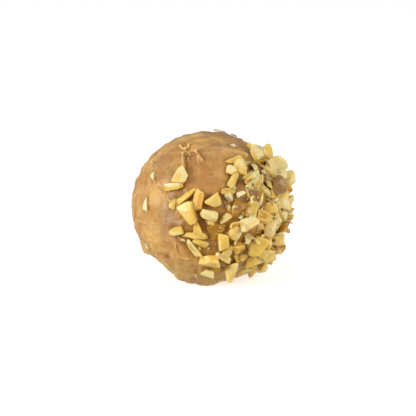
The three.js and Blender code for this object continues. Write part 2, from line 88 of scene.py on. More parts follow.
# Chopped nuts that can be told apart: kind, across, up, length, width, turn of the length in the view, how
# much it narrows along that turn, how far its face turns from the coat towards the front, from 0 to 1,
# roll about its length, and the look
PLACED_NUTS = [
    ("dice", -8.9, 11.1, 6.0, 3.8, 98, 0.8, 0.1, 12, "pale"),
    ("dice", -11.4, 7.2, 6.6, 2.2, 0, 0.05, 0.1, 24, "pale"),
    ("sliver", -7.3, 3.5, 8.2, 2.2, 38, 0.1, 0, 30, "gold"),
    ("dice", -3.2, 2.3, 6.3, 3.2, 76, 0.1, 0, -10, "amber"),
    ("dice", 1.7, 2.4, 5.2, 3.5, 184, 0.75, 0.1, -15, "gold"),
    ("dice", -6.3, -2.0, 7.4, 4.2, -62, 0.5, 0, 10, "gold"),
    ("dice", 23.5, -10.6, 3.9, 3.5, 10, 0.05, 0.8, 0, "gold"),
    ("chunk", -3.7, -6.3, 4.4, 2.0, 100, 0.4, 0, 0, "gold"),
    ("chip", -10.6, -7.7, 5.0, 3.6, 197, 0.5, 0.2, 30, "pale"),
    ("dice", -4.4, -9.1, 7.3, 2.0, 180, 0.25, 0, 12, "gold"),
    ("chip", -2.4, -11.5, 5.0, 2.4, -28, 0, 0, -12, "gold"),
    ("sliver", -4.6, -13.6, 7.2, 2.0, -59, 0.35, 0, 0, "cream"),
    ("chunk", 0.4, -17.6, 6.4, 4.6, -6, 0.1, 0.2, 10, "gold"),
    ("chip", 2.4, -20.4, 3.9, 2.4, -15, 0.1, 0.2, 0, "coated"),
    ("chunk", -0.1, -21.8, 3.8, 2.8, 150, 0.2, 0.3, 20, "cream"),
    ("chunk", 7.7, -21.2, 5.8, 3.9, -82, 0.28, 0.6, 15, "gold"),
    ("bean", 9.0, -8.1, 5.0, 4.3, 60, 0.1, 0.1, 0, "pale"),
    ("dice", 5.0, -11.0, 5.0, 3.4, -80, 0.12, 0, 10, "gold"),
    ("chunk", 6.7, -14.0, 4.2, 2.6, 75, 0.15, 0.1, -10, "gold"),
    ("sliver", 5.3, -16.2, 5.6, 2.2, -40, 0.1, 0.2, 0, "cream"),
    ("dice", 10.0, -13.1, 4.0, 3.2, 32, 0.1, 0.1, 15, "amber"),
    ("dice", 13.4, -5.3, 6.2, 3.6, 22, 0.1, 0.4, -32, "cream"),
    ("chunk", 5.6, -3.4, 4.2, 2.1, 32, 0.1, 0, 10, "pale"),
    ("chip", 2.8, -6.8, 5.4, 2.8, 5, 0.2, 0, 0, "coated"),
    ("chip", 10.6, 0.6, 6.6, 4.4, 10, 0.5, 0, 0, "coated"),
    ("chip", 6.9, 5.3, 4.8, 2.2, 185, 0.2, 0, 10, "gold"),
    ("chip", 8.3, 9.2, 6.0, 2.4, 60, 0.05, 0.1, 15, "gold"),
    ("dice", 7.7, 12.5, 3.2, 2.8, -15, 0.05, 0.1, 20, "cream"),
    ("chip", 10.8, 13.9, 5.4, 4.4, 75, 0.2, 0.4, 0, "gold"),
    ("chip", 8.5, 15.7, 5.6, 1.9, 202, 0.5, 0.4, 0, "gold"),
    ("petal", 14.6, 10.8, 6.2, 3.4, 20, 0, 0.4, 0, "pale"),
    ("petal", 15.6, 8.1, 6.4, 3.2, 40, 0.2, 0.4, 0, "pale"),
    ("petal", 18.4, 6.2, 6.8, 2.6, -28, 0.1, 0.5, 0, "pale"),
    ("petal", 16.1, 17.8, 6.4, 4.0, -72, 0.5, 0.7, 0, "pale"),
    ("petal", 19.7, 17.4, 7.6, 4.2, -68, 0.4, 0.7, 0, "gold"),
    ("petal", 22.6, 13.6, 7.6, 5.8, 40, 0, 0.7, 0, "pale"),
    ("petal", 26.2, 9.6, 6.4, 5.2, 10, 0, 0.8, 0, "pale"),
    ("chunk", 23.3, 7.8, 6.3, 4.4, 100, 0.2, 0.7, 0, "skin"),
    ("petal", 24.8, 2.9, 6.6, 5.4, 80, 0.1, 0.7, 0, "gold"),
    ("petal", 20.0, 9.4, 5.3, 1.5, 100, 0.2, 0.5, 0, "pale"),
    ("sliver", 17.6, 3.0, 4.8, 1.3, 70, 0.2, 0.5, 0, "cream"),
    ("petal", 14.1, -0.6, 6.0, 5.0, 60, 0.1, 0.3, 0, "gold"),
    ("bean", 20.8, 0.0, 5.0, 3.6, -6, 0.1, 0.6, 0, "gold"),
    ("chip", 22.3, -4.1, 3.8, 3.4, 30, 0.1, 0.7, 0, "pale"),
    ("sliver", 24.7, -6.7, 5.8, 2.4, 45, 0.2, 0.8, 0, "coated"),
    ("bean", 20.4, -7.0, 5.2, 4.2, 80, 0.1, 0.6, 0, "pale"),
    ("dice", 0.3, -2.4, 5.6, 3.4, -28, 0, 0, 36, "cream"),
    ("chip", 16.0, -12.7, 6.8, 5.2, -105, 0.35, 0.4, 15, "gold"),
    ("sliver", 20.0, -11.6, 4.8, 2.7, 100, 0.1, 0.6, 0, "pale"),
    ("chip", 18.8, -15.4, 6.0, 4.8, -30, 0.1, 0.6, 0, "gold"),
    ("chip", 15.3, -17.6, 6.0, 3.4, 6, 0.2, 0.6, 0, "gold"),
    ("dice", -20.6, 1.3, 4.1, 1.7, 80, 0.65, 0.4, 0, "white"),
    ("sliver", -18.3, 10.4, 2.9, 1.4, -65, 0.5, 0.3, 0, "white"),
    ("sliver", -20.1, -12.4, 2.2, 1.1, -75, 0, 0.4, 0, "white"),
    ("chip", -11.6, 1.5, 3.6, 2.2, 75, 0.1, 0.3, 0, "pale"),
    ("chip", 8.0, 20.6, 2.9, 1.4, 25, 0.2, 0.4, 0, "white"),
    ("petal", 2.9, 25.9, 2.7, 1.1, 0, 0.1, 0.3, 0, "white"),
    ("chunk", 1.2, -4.9, 2.4, 1.4, -15, 0.1, 0, 0, "pale"),
    ("chip", -9.5, -9.5, 3.0, 1.4, -70, 0.1, 0, 0, "pale"),
    ("chunk", -8.2, -10.6, 1.8, 1.3, 20, 0.1, 0, 0, "white"),
    ("chip", 4.5, -23.1, 3.0, 0.9, 8, 0.1, 0.4, 0, "pale"),
    ("sliver", 9.5, -16.6, 4.0, 1.3, -63, 0.1, 0.2, 0, "gold"),
    ("chunk", 11.9, -16.2, 3.0, 2.0, 5, 0.1, 0.3, 0, "pale"),
    ("chip", 14.2, -15.0, 4.0, 1.8, -30, 0.1, 0.4, 0, "gold"),
    ("chip", 12.0, -21.0, 3.6, 1.6, 5, 0.1, 0.5, 0, "pale"),
    ("sliver", 14.8, -19.9, 3.0, 0.9, 20, 0.1, 0.5, 0, "pale"),
    ("chip", 1.9, -9.2, 2.4, 2.3, 0, 0.1, 0, 0, "coated"),
    ("chunk", 7.0, 0.1, 2.1, 1.2, 100, 0.3, 0, 0, "pale"),
    ("chunk", 10.8, -3.0, 1.8, 1.5, 0, 0.1, 0.2, 0, "white"),
    ("petal", 18.2, -2.6, 4.8, 3.8, -20, 0.1, 0.5, 0, "amber"),
    ("chip", 24.5, -1.7, 2.7, 2.5, 60, 0.1, 0.8, 0, "cream"),
    ("chip", 17.4, -5.9, 2.6, 2.3, 0, 0.1, 0.5, 0, "pale"),
    ("sliver", 13.1, 4.6, 3.9, 1.1, -63, 0.1, 0.4, 0, "pale"),
    ("chunk", 10.7, 4.7, 3.1, 1.5, 25, 0.1, 0.2, 0, "white"),
    ("petal", 16.4, 5.0, 3.0, 2.4, 90, 0.1, 0.4, 0, "coated"),
    ("chip", 14.1, 20.1, 3.0, 1.7, -45, 0.1, 0.7, 0, "pale"),
    ("chunk", 18.3, 15.5, 1.4, 0.9, 0, 0.1, 0.5, 0, "cream"),
    ("sliver", 21.4, 10.0, 3.4, 1.3, 60, 0.1, 0.6, 0, "pale"),
    ("chip", 5.0, 25.4, 1.7, 1.0, 0, 0.1, 0.3, 0, "white"),
    ("chip", 8.6, 24.1, 2.3, 0.8, -30, 0.1, 0.3, 0, "coated"),
]

# The looks of a cut nut: tone from white below 0 over cream at 0 to amber at 1, chocolate film,
# and brown skin
NUT_LOOKS = {
    "white": (-0.45, 0.0, 0.0),
    "cream": (0.05, 0.0, 0.0),
    "pale": (0.35, 0.05, 0.0),
    "gold": (0.6, 0.0, 0.0),
    "amber": (1.15, 0.0, 0.0),
    "coated": (0.9, 0.8, 0.0),
    "skin": (0.8, 0.1, 1.0),
}
SPREAD_LOOKS = ("pale", "gold", "pale", "gold", "coated", "pale", "cream", "gold", "amber")

# The side that was pressed into chopped nuts, and the even spread that carries the nuts above on round it
NUT_SIDE = (20.5, -9.0)
SPREAD_REACH = math.radians(72)
SPREAD_COUNT = 150
SPREAD_FRONT = 0.3
SPREAD_KEEP_OFF = 3.0
SPREAD_KINDS = ("chunk", "petal", "chip", "sliver", "petal", "chip", "chunk")

# Small flakes that stand up between the nuts where these lie thickest
FLAKE_SIDE = (20.5, 0.0)
FLAKE_REACH = math.radians(40)
FLAKE_COUNT = 90
FLAKE_KEEP_OFF = 1.4
FLAKE_LEAN = math.radians(80)

# Stray bits behind, where nothing was pressed in; no nut lies lower than this share of the radius
STRAY_COUNT = 15
STRAY_LENGTH = (1.6, 3.0)
STRAY_WIDTH = (0.5, 0.8)
LOWEST_NUT = -0.8

# Each kind of chopped nut: thickness as a share of the width, squareness of the corners, skew of the faces,
# wobble of the outline, curl of the flat faces as a share of the length, where the cuts across lie, depth of
# the hollows of its broken faces, and points along a side and through; for the even spread also the range of
# lengths, of widths as a share of the length, and of narrowing
NUT_KINDS = {
    "chunk": dict(
        thick=0.8, square=7.0, skew=0.25, wobble=0.05, curl=0.0, cut=0.74, scoop=0.16, points=(15, 15),
        length=(3.6, 5.2), width=(0.7, 0.9), narrow=(0.0, 0.6),
    ),
    "dice": dict(
        thick=0.72, square=7.0, skew=0.16, wobble=0.04, curl=0.0, cut=0.98, scoop=0.14, points=(15, 13),
        length=(3.0, 4.6), width=(0.7, 0.95), narrow=(0.0, 0.3),
    ),
    "chip": dict(
        thick=0.36, square=6.0, skew=0.18, wobble=0.08, curl=0.03, cut=0.8, scoop=0.12, points=(19, 9),
        length=(3.8, 5.4), width=(0.55, 0.9), narrow=(0.0, 0.6),
    ),
    "petal": dict(
        thick=0.2, square=3.6, skew=0.2, wobble=0.13, curl=0.1, cut=0.86, scoop=0.06, points=(21, 7),
        length=(4.2, 5.8), width=(0.7, 0.95), narrow=(0.0, 0.4),
    ),
    "bean": dict(
        thick=0.6, square=2.6, skew=0.12, wobble=0.04, curl=0.0, cut=0.94, scoop=0.05, points=(17, 13),
        length=(3.6, 5.0), width=(0.7, 0.9), narrow=(0.0, 0.2),
    ),
    "sliver": dict(
        thick=0.66, square=5.0, skew=0.25, wobble=0.05, curl=0.08, cut=0.86, scoop=0.12, points=(17, 9),
        length=(4.0, 6.0), width=(0.32, 0.45), narrow=(0.0, 0.5),
    ),
    "flake": dict(
        thick=0.17, square=5.0, skew=0.3, wobble=0.16, curl=0.12, cut=0.8, scoop=0.04, points=(13, 5),
        length=(2.8, 5.2), width=(0.4, 0.85), narrow=(0.0, 0.7),
    ),
}
THIN_KINDS = ("petal", "flake")
CUT_SOFTNESS = 0.16
THIN_PALER = 0.12
NUT_SINK = 0.15
NUT_SINK_SHARE = 0.22
NUT_LEAN = math.radians(45)

# What each repeatable draw is for; a vector takes three numbers in a row. A draw is what is left of a steep
# wave when its whole part is taken away
DRAW_LUMP_HEIGHT = 1
DRAW_LUMP_SPREAD = 2
DRAW_LENGTH = 3
DRAW_WIDTH = 4
DRAW_NARROW = 5
DRAW_SKEW = 10
DRAW_CROSS_SKEW = 13
DRAW_CUTS = (16, 19, 42, 45)
DRAW_WOBBLE = 22
DRAW_TURN = 30
DRAW_LEAN = 33
DRAW_TONE = 40
DRAW_SPECK_PLACE = 50
DRAW_SPECK_HEIGHT = 53
DRAW_SPECK_RADIUS = 54
DRAW_SPECK_KIND = 55
SEED = 7
ITEM_STEP = 12.9898
PURPOSE_STEP = 78.233
WAVE_SIZE = 43758.5453
GOLDEN_ANGLE = math.pi * (3 - math.sqrt(5))

# Strokes of a hand run round a mark (across, up), between these angles from it
SWIRL = (0.0, 8.0)
SWIRL_START = math.radians(24)
SWIRL_END = math.radians(52)

# Small marks of the coat: across, up, height, and radius
COAT_DOTS = [
    (-13.9, 14.3, -0.45, 0.5),
    (-13.2, 15.2, -0.3, 0.4),
    (-1.5, 23.3, -0.5, 0.5),
    (-16.8, 9.9, -0.55, 0.7),
    (-20.2, 8.3, -0.4, 0.6),
    (-7.4, 18.4, -0.6, 0.5),
    (-7.3, 16.5, -0.6, 0.6),
    (-5.2, 18.7, -0.5, 0.5),
    (-4.7, 17.8, -0.5, 0.45),
    (-6.3, 17.4, -0.5, 0.5),
    (-19.3, 0.2, -0.35, 0.7),
    (-19.6, 2.6, -0.35, 0.6),
    (-21.6, 1.8, -0.3, 0.5),
    (-20.0, -14.1, -0.5, 0.7),
    (-19.1, -12.2, -0.35, 0.5),
    (-13.3, -16.0, -0.35, 0.9),
    (-12.8, -14.8, -0.3, 0.6),
    (-19.8, 9.0, 0.5, 0.7),
    (-20.4, 10.9, 0.3, 0.5),
    (-17.9, -1.2, 0.35, 0.35),
    (-13.7, -4.1, 0.35, 0.4),
    (-17.7, -3.8, 0.3, 0.3),
    (-18.0, -5.3, 0.5, 0.4),
    (-14.6, -8.4, 0.3, 0.35),
    (-13.1, -6.8, 0.35, 0.4),
    (-11.4, -1.2, 0.3, 0.4),
    (-15.6, -1.0, 0.25, 0.3),
    (-6.5, 16.0, 0.5, 0.35),
    (-5.4, 17.5, 0.45, 0.3),
    (-4.5, 17.0, 0.45, 0.3),
    (-7.5, 19.4, 0.5, 0.5),
    (-10.2, 15.1, 0.3, 0.3),
    (-1.6, 15.7, 0.35, 0.3),
    (2.4, 9.1, 0.3, 0.3),
    (-16.9, -15.8, 0.35, 0.5),
    (-7.5, -18.6, 0.3, 0.4),
    (-6.6, -16.2, 0.4, 0.6),
]

# Thin ridges of the coat: start and end (across, up), bow to the left of the way, height, and width
COAT_RIDGES = [
    ((-24.2, -3.0), (-18.6, -5.0), -0.3, 0.5, 0.4),
    ((-18.0, 9.4), (-17.2, 8.0), 0.1, 0.6, 0.35),
    ((-18.4, 7.4), (-20.6, 5.2), 0.2, 0.25, 0.4),
    ((-17.2, 7.6), (-15.2, 3.0), 0.3, 0.25, 0.45),
    ((-14.4, 5.2), (-11.8, 1.6), -0.8, 0.3, 0.4),
    ((-10.3, -11.0), (-9.6, -15.4), -0.5, 0.45, 0.4),
    ((-9.4, -15.8), (-5.6, -16.4), -0.5, 0.3, 0.5),
    ((-8.5, 17.3), (-10.2, 15.6), 0.1, 0.4, 0.3),
    ((-3.6, 17.3), (-1.5, 15.6), -0.2, 0.65, 0.4),
    ((-3.5, 16.9), (-2.9, 14.2), 0.1, 0.25, 0.5),
    ((-17.6, 14.0), (-18.2, 15.2), 0.0, 0.4, 0.35),
    ((-6.0, 21.0), (-2.5, 23.1), 0.3, 0.45, 0.5),
    ((-2.5, 23.1), (6.8, 20.4), 1.0, 0.35, 0.5),
    ((-1.4, 18.1), (6.0, 18.9), 0.2, 0.25, 0.6),
    ((6.0, 18.9), (13.4, 17.0), 0.6, 0.4, 0.6),
]

# Soft strokes of colour, golden above 0 and brown below: start and end (across, up), bow, strength and width
COAT_STROKES = [
    ((-3.6, 22.0), (4.9, 21.7), 0.6, 0.8, 0.8),
    ((-3.1, 19.8), (0.3, 20.6), 0.1, 0.7, 0.6),
    ((6.0, 18.7), (13.4, 16.8), 0.6, 0.7, 0.6),
    ((0.7, 20.3), (4.9, 20.1), 0.4, -0.4, 0.7),
    ((-1.0, 23.9), (7.6, 21.4), 1.0, -0.35, 0.6),
    ((6.5, 17.6), (13.0, 15.9), 0.5, -0.3, 0.6),
    ((-15.4, 18.6), (-9.4, 22.4), 0.6, 0.6, 0.5),
    ((-16.2, 16.8), (-10.2, 21.0), 0.5, -0.25, 0.5),
]

# Golden patches, where a nut lies just under the coat or fat has smeared, and painted light on the lower
# left rim:
# the rows at (-13, -19.5) and (-9, -22) stand for the glow that a white table throws up there. Across, up,
# strength, and radius
GOLD_AND_BOUNCE_PATCHES = [
    (-17.6, 4.4, 0.6, 3.2),
    (-18.6, -9.4, 0.8, 2.4),
    (-17.4, -13.0, 0.3, 2.5),
    (-8.8, -13.3, 0.5, 1.7),
    (-2.5, 21.8, 0.45, 2.4),
    (1.0, 22.0, 0.4, 2.6),
    (5.5, 21.6, 0.4, 1.8),
    (9.0, 18.6, 0.5, 1.8),
    (12.4, 16.6, 0.4, 1.8),
    (-9.0, -22.0, 0.6, 2.4),
    (-13.0, -19.5, 0.6, 1.6),
    (-6.0, -20.5, 0.25, 6.0),
    (3.0, -22.5, 0.5, 5.0),
    (6.0, -9.0, 0.5, 6.0),
    (11.0, 1.0, 0.6, 4.0),
]

# Dull greyish brown patches, partly dull chocolate and partly painted sheen: across, up, strength, and
# radius
DULL_AND_SHEEN_PATCHES = [
    (-12.2, -4.8, 0.9, 3.2),
    (-14.6, -0.5, 0.6, 3.0),
    (-10.8, 4.6, 0.9, 1.8),
    (-12.6, 11.5, 0.6, 2.6),
    (-15.8, 14.2, 0.5, 3.2),
    (11.4, 20.4, 0.9, 2.6),
    (5.5, 24.0, 0.8, 2.6),
    (0.0, 24.6, 0.7, 2.8),
    (2.0, 20.5, 0.4, 5.0),
    (-14.0, -8.4, 0.6, 2.4),
    (12.2, -10.5, 0.6, 1.6),
    (13.4, -19.4, 0.7, 1.5),
    (16.5, 14.2, 0.4, 2.0),
]

# Dark spots in pits and in the crater that the tails were pulled from, partly painted shade in their
# hollows;
# the last three rows are wide and faint: painted shade over the bottom and the middle of the front, and a
# darker top. Across, up, strength, and radius
DARK_AND_SHADED_SPOTS = [
    (-13.3, -16.0, 1.0, 1.2),
    (-12.8, -14.8, 0.6, 0.5),
    (-13.9, 14.4, 0.7, 0.5),
    (-1.5, 23.3, 0.7, 0.5),
    (-6.6, 17.6, 0.6, 1.2),
    (-4.9, 18.3, 0.6, 1.0),
    (-5.6, 16.6, 0.5, 0.9),
    (-16.8, 9.9, 0.5, 0.7),
    (-20.0, -14.1, 0.5, 0.7),
    (-4.5, -20.4, 0.25, 4.0),
    (-0.8, 11.9, 0.1, 8.0),
    (3.0, 20.5, 0.13, 7.0),
]

# Painted shade in the gaps between the nuts at the front: across, up, strength, and radius
GAP_SHADE_MARKS = [
    (1.2, -12.4, 0.6, 2.2),
    (-0.9, -6.2, 0.8, 2.4),
    (-1.6, -3.4, 0.7, 1.6),
    (4.2, -5.0, 0.5, 1.8),
    (12.0, 7.0, 0.5, 1.8),
    (16.5, 4.4, 0.5, 1.6),
]

# Small pimples and pits all over the coat: how many, how far off an even spread, heights, radii,
# the share of pits and how much painted shade darkens them with their depth
SPECK_COUNT = 220
SPECK_STRAY = 0.12
SPECK_HEIGHT = (0.08, 0.24)
SPECK_RADIUS = (0.3, 0.55)
PIT_SHARE = 0.4
PIT_SHADE = 1.6

# Pulled tails of chocolate: base and tip (across, up), how far base and tip stand off the coat, and
# thickness at the base, at the waist and at the knob of the tip
TAILS = [
    ((-8.0, 19.3), (-9.5, 20.9), -0.2, 0.7, 1.5, 0.6, 0.85),
    ((-6.7, 19.2), (-6.3, 21.3), -0.2, 0.8, 1.4, 0.6, 0.95),
    ((-7.3, 18.9), (-7.6, 19.9), 0.1, 0.7, 1.4, 0.9, 1.0),
    ((-3.4, 16.9), (-4.1, 19.0), 0.0, 0.8, 1.5, 0.7, 0.9),
    ((-8.3, 13.6), (-8.35, 18.4), 1.2, 0.6, 1.7, 0.45, 0.85),
    ((-17.7, 14.2), (-18.5, 15.4), -0.1, 0.5, 1.0, 0.5, 0.6),
    ((-6.0, 17.3), (-5.9, 17.9), 0.0, 0.4, 0.7, 0.5, 0.6),
    ((-5.1, 17.6), (-4.8, 17.9), 0.0, 0.3, 0.6, 0.4, 0.5),
    ((-6.6, 16.3), (-6.4, 16.7), 0.0, 0.3, 0.7, 0.5, 0.5),
    ((-4.7, 16.3), (-4.5, 16.6), 0.0, 0.3, 0.6, 0.4, 0.5),
    ((-7.4, 17.4), (-7.1, 17.8), 0.0, 0.3, 0.6, 0.4, 0.5),
    ((-2.2, 15.4), (-2.0, 15.7), 0.0, 0.3, 0.5, 0.4, 0.45),
]

# Thin threads that lie on the coat: start and end (across, up), bow to the left of the way, and thickness
COAT_THREADS = [
    ((-3.5, 17.3), (-1.6, 15.6), -0.2, 0.9),
    ((-3.4, 17.0), (-3.1, 14.4), 0.1, 0.7),
    ((-8.5, 17.2), (-10.0, 15.7), 0.1, 0.7),
    ((-17.8, 9.7), (-16.9, 7.4), 0.1, 0.7),
    ((-17.2, 7.6), (-20.2, 5.0), 0.4, 0.6),
    ((-16.9, 7.4), (-14.4, 2.6), 0.5, 0.6),
    ((-13.4, 4.6), (-11.6, 1.8), -0.6, 0.7),
    ((-11.6, 1.8), (-8.6, 1.2), -0.4, 0.6),
    ((-23.6, -3.3), (-18.8, -5.2), -0.5, 0.7),
    ((-10.2, -11.2), (-9.6, -15.2), -0.5, 0.7),
    ((-9.4, -15.6), (-5.8, -16.4), -0.5, 0.6),
]

# Relief of the coat: how strokes wander, how streaks stretch, how the swirl fades in and out at its edges,
# how calm and how low the coat is inside it, where the crests lie, and how much all of it is raised
WANDER_SCALE = 2.6
WANDER_BEND = 0.4
STROKE_SCALE = 1.3
STREAK_SHIFT = 0.35
STREAK_SCALE = (9.0, 9.0, 3.6)
SWIRL_FADE_IN = 0.15
SWIRL_FADE_OUT = 0.3
SWIRL_CALM = 0.25
SWIRL_LEVEL = 0.34
CREST_LEVEL = 0.54
CREST_WIDTH = 0.03
RELIEF = 2.0

# Where the coat climbs a nut, where nuts crowd, and where crumbs lie
CLING_REACH = 3.0
CLING_MARGIN = 0.9
CLING_EDGE = 1.25
CLING_FADE = 0.35
CROWD_RADIUS = 3.6
CROWD_LENGTH = 5.0
CROWD_START = 0.6
CROWD_RANGE = 1.3
CRUMB_START = 0.3
CRUMB_RISE = 2.0

# Shape and tone of a nut: waves of its outline, where its edges start, a growth that makes sure which side
# a point lies on, how high its curl lifts the middle, a shift of the hollows for each tone, the heights
# above the coat between which it is sunk and between which it rises, and how far its tone strays
OUTLINE_WAVES = 3.0
EDGE_START = 0.72
CORNER_GROWTH = 1.001
CURL_LEVEL = 0.5
TONE_SHIFT = (1.0, 0.6, 0.3)
SUNK_HEIGHTS = (-0.35 * MM, 0.08 * MM)
RISE_HEIGHTS = (0.2 * MM, 2.4 * MM)
TONE_STRAY = 0.12

# Crumbs: how many are small, ranges of their forms and turns, their facet and rise, their chips,
# and the seeds of their draws
CRUMB_SMALLNESS = 2.2
CRUMB_FORMS = ((0.4, 0.3, 0.15), (1.0, 0.7, 0.4))
CRUMB_TURNS = ((0.0, 0.0, 0.0), (math.tau, math.tau, math.tau))
CRUMB_MIDDLE = 0.5
CHIP_SIZE = 0.6
CHIP_DEPTH = 0.25
SEED_TONE = 11
SEED_SIZE = 12
SEED_FORM = 13
SEED_TURN = 14

# Points along a ridge and along a tail or thread, where the knob of a tail lies, how its stalk tapers,
# and how far the ends close
RIDGE_STEPS = 24
TAIL_STEPS = 28
KNOB_AT = 0.9
KNOB_REACH = 1 - KNOB_AT
STALK_TAPER = 2.5
TIP_CLOSED = 0.02
THREAD_END = 0.004

# Noise runs from 0 to 1: its mean, and ranges that most of it lies in
NOISE_MEAN = 0.5
NOISE_RANGE = (0.3, 0.7)
GLOSS_NOISE = (0.25, 0.75)

# Patterns of the materials: sizes, and what they add or take away
COAT_TINT_SIZE = 6.5
COAT_SPECK_SIZE = 0.55
COAT_GRAIN_SIZE = 0.32
TINT_STRAY = 0.16
# How much painted shade darkens the coat at the foot of each nut
FOOT_SHADE = (0.2, 0.5)
CROWD_TINT_AND_SHADE = 0.9
COAT_GLOSS = (-0.08, 0.1)
NUT_CLOUD_SIZE = 1.8
NUT_GRAIN_SIZE = 0.35
CLOUD_STRAY = 0.1
FACET_STRAY = 0.24
SUNK_STRAY = (-0.2, 0.1)
NUT_GLOSS = (-0.06, 0.12)
MATT_ROUGHNESS = 0.25
TAIL_SPOT_SIZE = 0.5

# Ramps of the materials: the range that is read, and what it gives at both ends unless these are 0 and 1
TAN_STREAKS = (0.26, 0.56)
LIGHT_STREAKS = (0.5, 0.82)
DARK_SPECKS = (0.62, 0.8, 0.0, 0.35)
PALE_SPECKS = (0.2, 0.36, 0.3, 0.0)
# Painted light and shade on each nut: paler high up, deeper amber low down near the coat
PAINTED_HEIGHT_SHADES = (0.0, 0.9, 0.2, -0.16)
GOLD_SHADES = (0.0, 0.55)
AMBER_SHADES = (0.7, 1.25)
WHITE_TONES = (-0.4, -0.1, 1.0, 0.0)
MATT_TONES = (0.85, 1.1)
EDGE_CLOUDS = (0.35, 0.65, 0.45, 0.85)
FILM_CLOUDS = (0.3, 0.55, 0.35, 1.25)
SKIN_CLOUDS = (0.3, 0.5, 0.55, 1.0)

# The stage: direction, distance and size of each light in metres, how low the sky fades to the light from
# below, the camera's sensor in millimetres and its range in metres, and the floor's reach and colour
WHITE = (1.0, 1.0, 1.0)
KEY_LIGHT = ((-0.8, -0.5, 0.32), 0.7, 0.3)
FILL_LIGHT = ((0.8, -0.45, 0.3), 0.8, 0.6)
SKY_FADE = (-0.3, 0.1)
SENSOR_WIDTH = 36
CLIP_START = 0.01
CLIP_END = 20
FLOOR_REACH = 3.0
FLOOR_GREY = (0.94, 0.94, 0.94)

# Sockets of a mix node for colours, and vector maths that gives one number
MIX_FIRST_COLOUR = 6
MIX_SECOND_COLOUR = 7
MIX_COLOUR = 2
VECTOR_TO_NUMBER = ("DOT_PRODUCT", "DISTANCE")

# The corner of the space that shapes keep to, in metres, at the height of the floor
LOWEST_CORNER = (-1.0, -1.0, 0.0)


# Settings

def length_value(name, description, value):
    """A length property; value is in millimetres."""
    return bpy.props.FloatProperty(
        name=name, description=description, default=value * MM, unit="LENGTH", precision=5,
    )


def number_value(name, description, value):
    return bpy.props.FloatProperty(name=name, description=description, default=value)


def share_value(name, description, value):
    """A property from 0 to 1."""
    return bpy.props.FloatProperty(
        name=name, description=description, default=value, subtype="FACTOR", min=0, max=1,
    )


def count_value(name, description, value):
    return bpy.props.IntProperty(name=name, description=description, default=value)


def linear(part):
    """A screen colour's part from 0 to 1 as light."""
    return part / 12.92 if part <= 0.04045 else ((part + 0.055) / 1.055) ** 2.4


def colour_value(name, description, red, green, blue):
    """A colour property; red, green and blue are from 0 to 255, as a screen shows them."""
    return bpy.props.FloatVectorProperty(
        name=name, description=description, subtype="COLOR", size=3, min=0, max=1,
        default=[linear(part / 255) for part in (red, green, blue)],
    )


class CoatSettings(bpy.types.PropertyGroup):
    """The chocolate coat of the ball."""

    cells: count_value("Cells", "Cells along a side of the six patches that make the ball", 126)
    smear_height: length_value("Smear Height", "How far the strokes of a hand stand out", 0.3)
    smear_spacing: length_value("Smear Spacing", "How far apart the strokes lie", 3.2)
    crest_height: length_value("Crest Height", "Height of the thin crests between strokes", 0.1)
    lump_height: length_value("Lump Height", "Height of the soft lumps", 0.8)
    lump_size: length_value("Lump Size", "Size of the soft lumps", 3.4)
    grain_height: length_value("Grain Height", "Height of the fine grain", 0.1)
    grain_size: length_value("Grain Size", "Size of the fine grain", 1.0)
    cling_height: length_value("Cling Height", "How far the coat climbs the nuts", 0.15)
    tan: colour_value("Tan", "Milk chocolate where it is smooth", 202, 158, 93)
    light_tan: colour_value("Light Tan", "Crests of the strokes", 217, 178, 115)
    brown: colour_value("Brown", "Hollows of the strokes", 182, 132, 74)
    # Dull Brown: partly dull chocolate, partly painted sheen
    dull: colour_value("Dull Brown", "Dull patches", 168, 131, 90)
    # Golden: also painted bounce light on the lower left rim
    golden: colour_value("Golden", "Patches where nut or fat shows through", 222, 176, 98)
    # Deep Brown: the crater and dark spots, and painted shade in pits, over the bottom and the middle of the
    # front
    deep_and_shade: colour_value("Deep Brown", "Pits and dark spots", 138, 84, 46)
    # Caramel: partly the coat's own deeper colour where nuts crowd, partly painted shade between them
    caramel_and_shade: colour_value("Caramel", "Coat where the nuts crowd", 160, 112, 40)
    # Gap Brown: painted shade on the coat at the feet of the nuts and in the gaps between them
    gap: colour_value("Gap Brown", "Coat at the feet of the nuts", 112, 66, 10)
    roughness: share_value("Roughness", "How dull the chocolate is", 0.38)


class NutSettings(bpy.types.PropertyGroup):
    """The chopped nuts."""

    scoop_size: length_value("Scoop Size", "Size of the hollows of a broken face", 2.6)
    grain_height: length_value("Grain Height", "Height of the grain of a broken face", 0.05)
    grain_size: length_value("Grain Size", "Size of the grain of a broken face", 0.7)
    # Rim: painted light, a warm glow at the thin edges where light would pass through
    rim_glow: colour_value("Rim", "Thin edges that light passes through", 248, 207, 120)
    white: colour_value("White", "Palest stray bits", 238, 217, 165)
    cream: colour_value("Cream", "Palest nuts", 233, 217, 158)
    gold: colour_value("Gold", "Most of the nuts", 229, 192, 94)
    amber: colour_value("Amber", "Darkest nuts", 203, 148, 54)
    skin: colour_value("Skin", "Brown skin of a nut", 172, 132, 84)
    film: colour_value("Film", "Thin film of chocolate on a nut", 168, 120, 36)
    roughness: share_value("Roughness", "How dull a cut nut is", 0.2)
    glow: share_value("Glow", "Share of light that passes through a nut", 0.8)
    thin_glow: share_value("Thin Glow", "Share of light that passes through a thin piece", 0.85)
    glow_depth: length_value("Glow Depth", "How far light passes into a nut", 1.3)


class CrumbSettings(bpy.types.PropertyGroup):
    """The crumbs of nut between the pieces."""

    density: number_value("Density", "Crumbs for each square metre where they lie thickest", 420000)
    smallest: length_value("Smallest", "Size of the smallest crumbs", 0.25)
    largest: length_value("Largest", "Size of the largest crumbs", 1.0)
    seed: count_value("Seed", "Picks where the crumbs lie", 5)


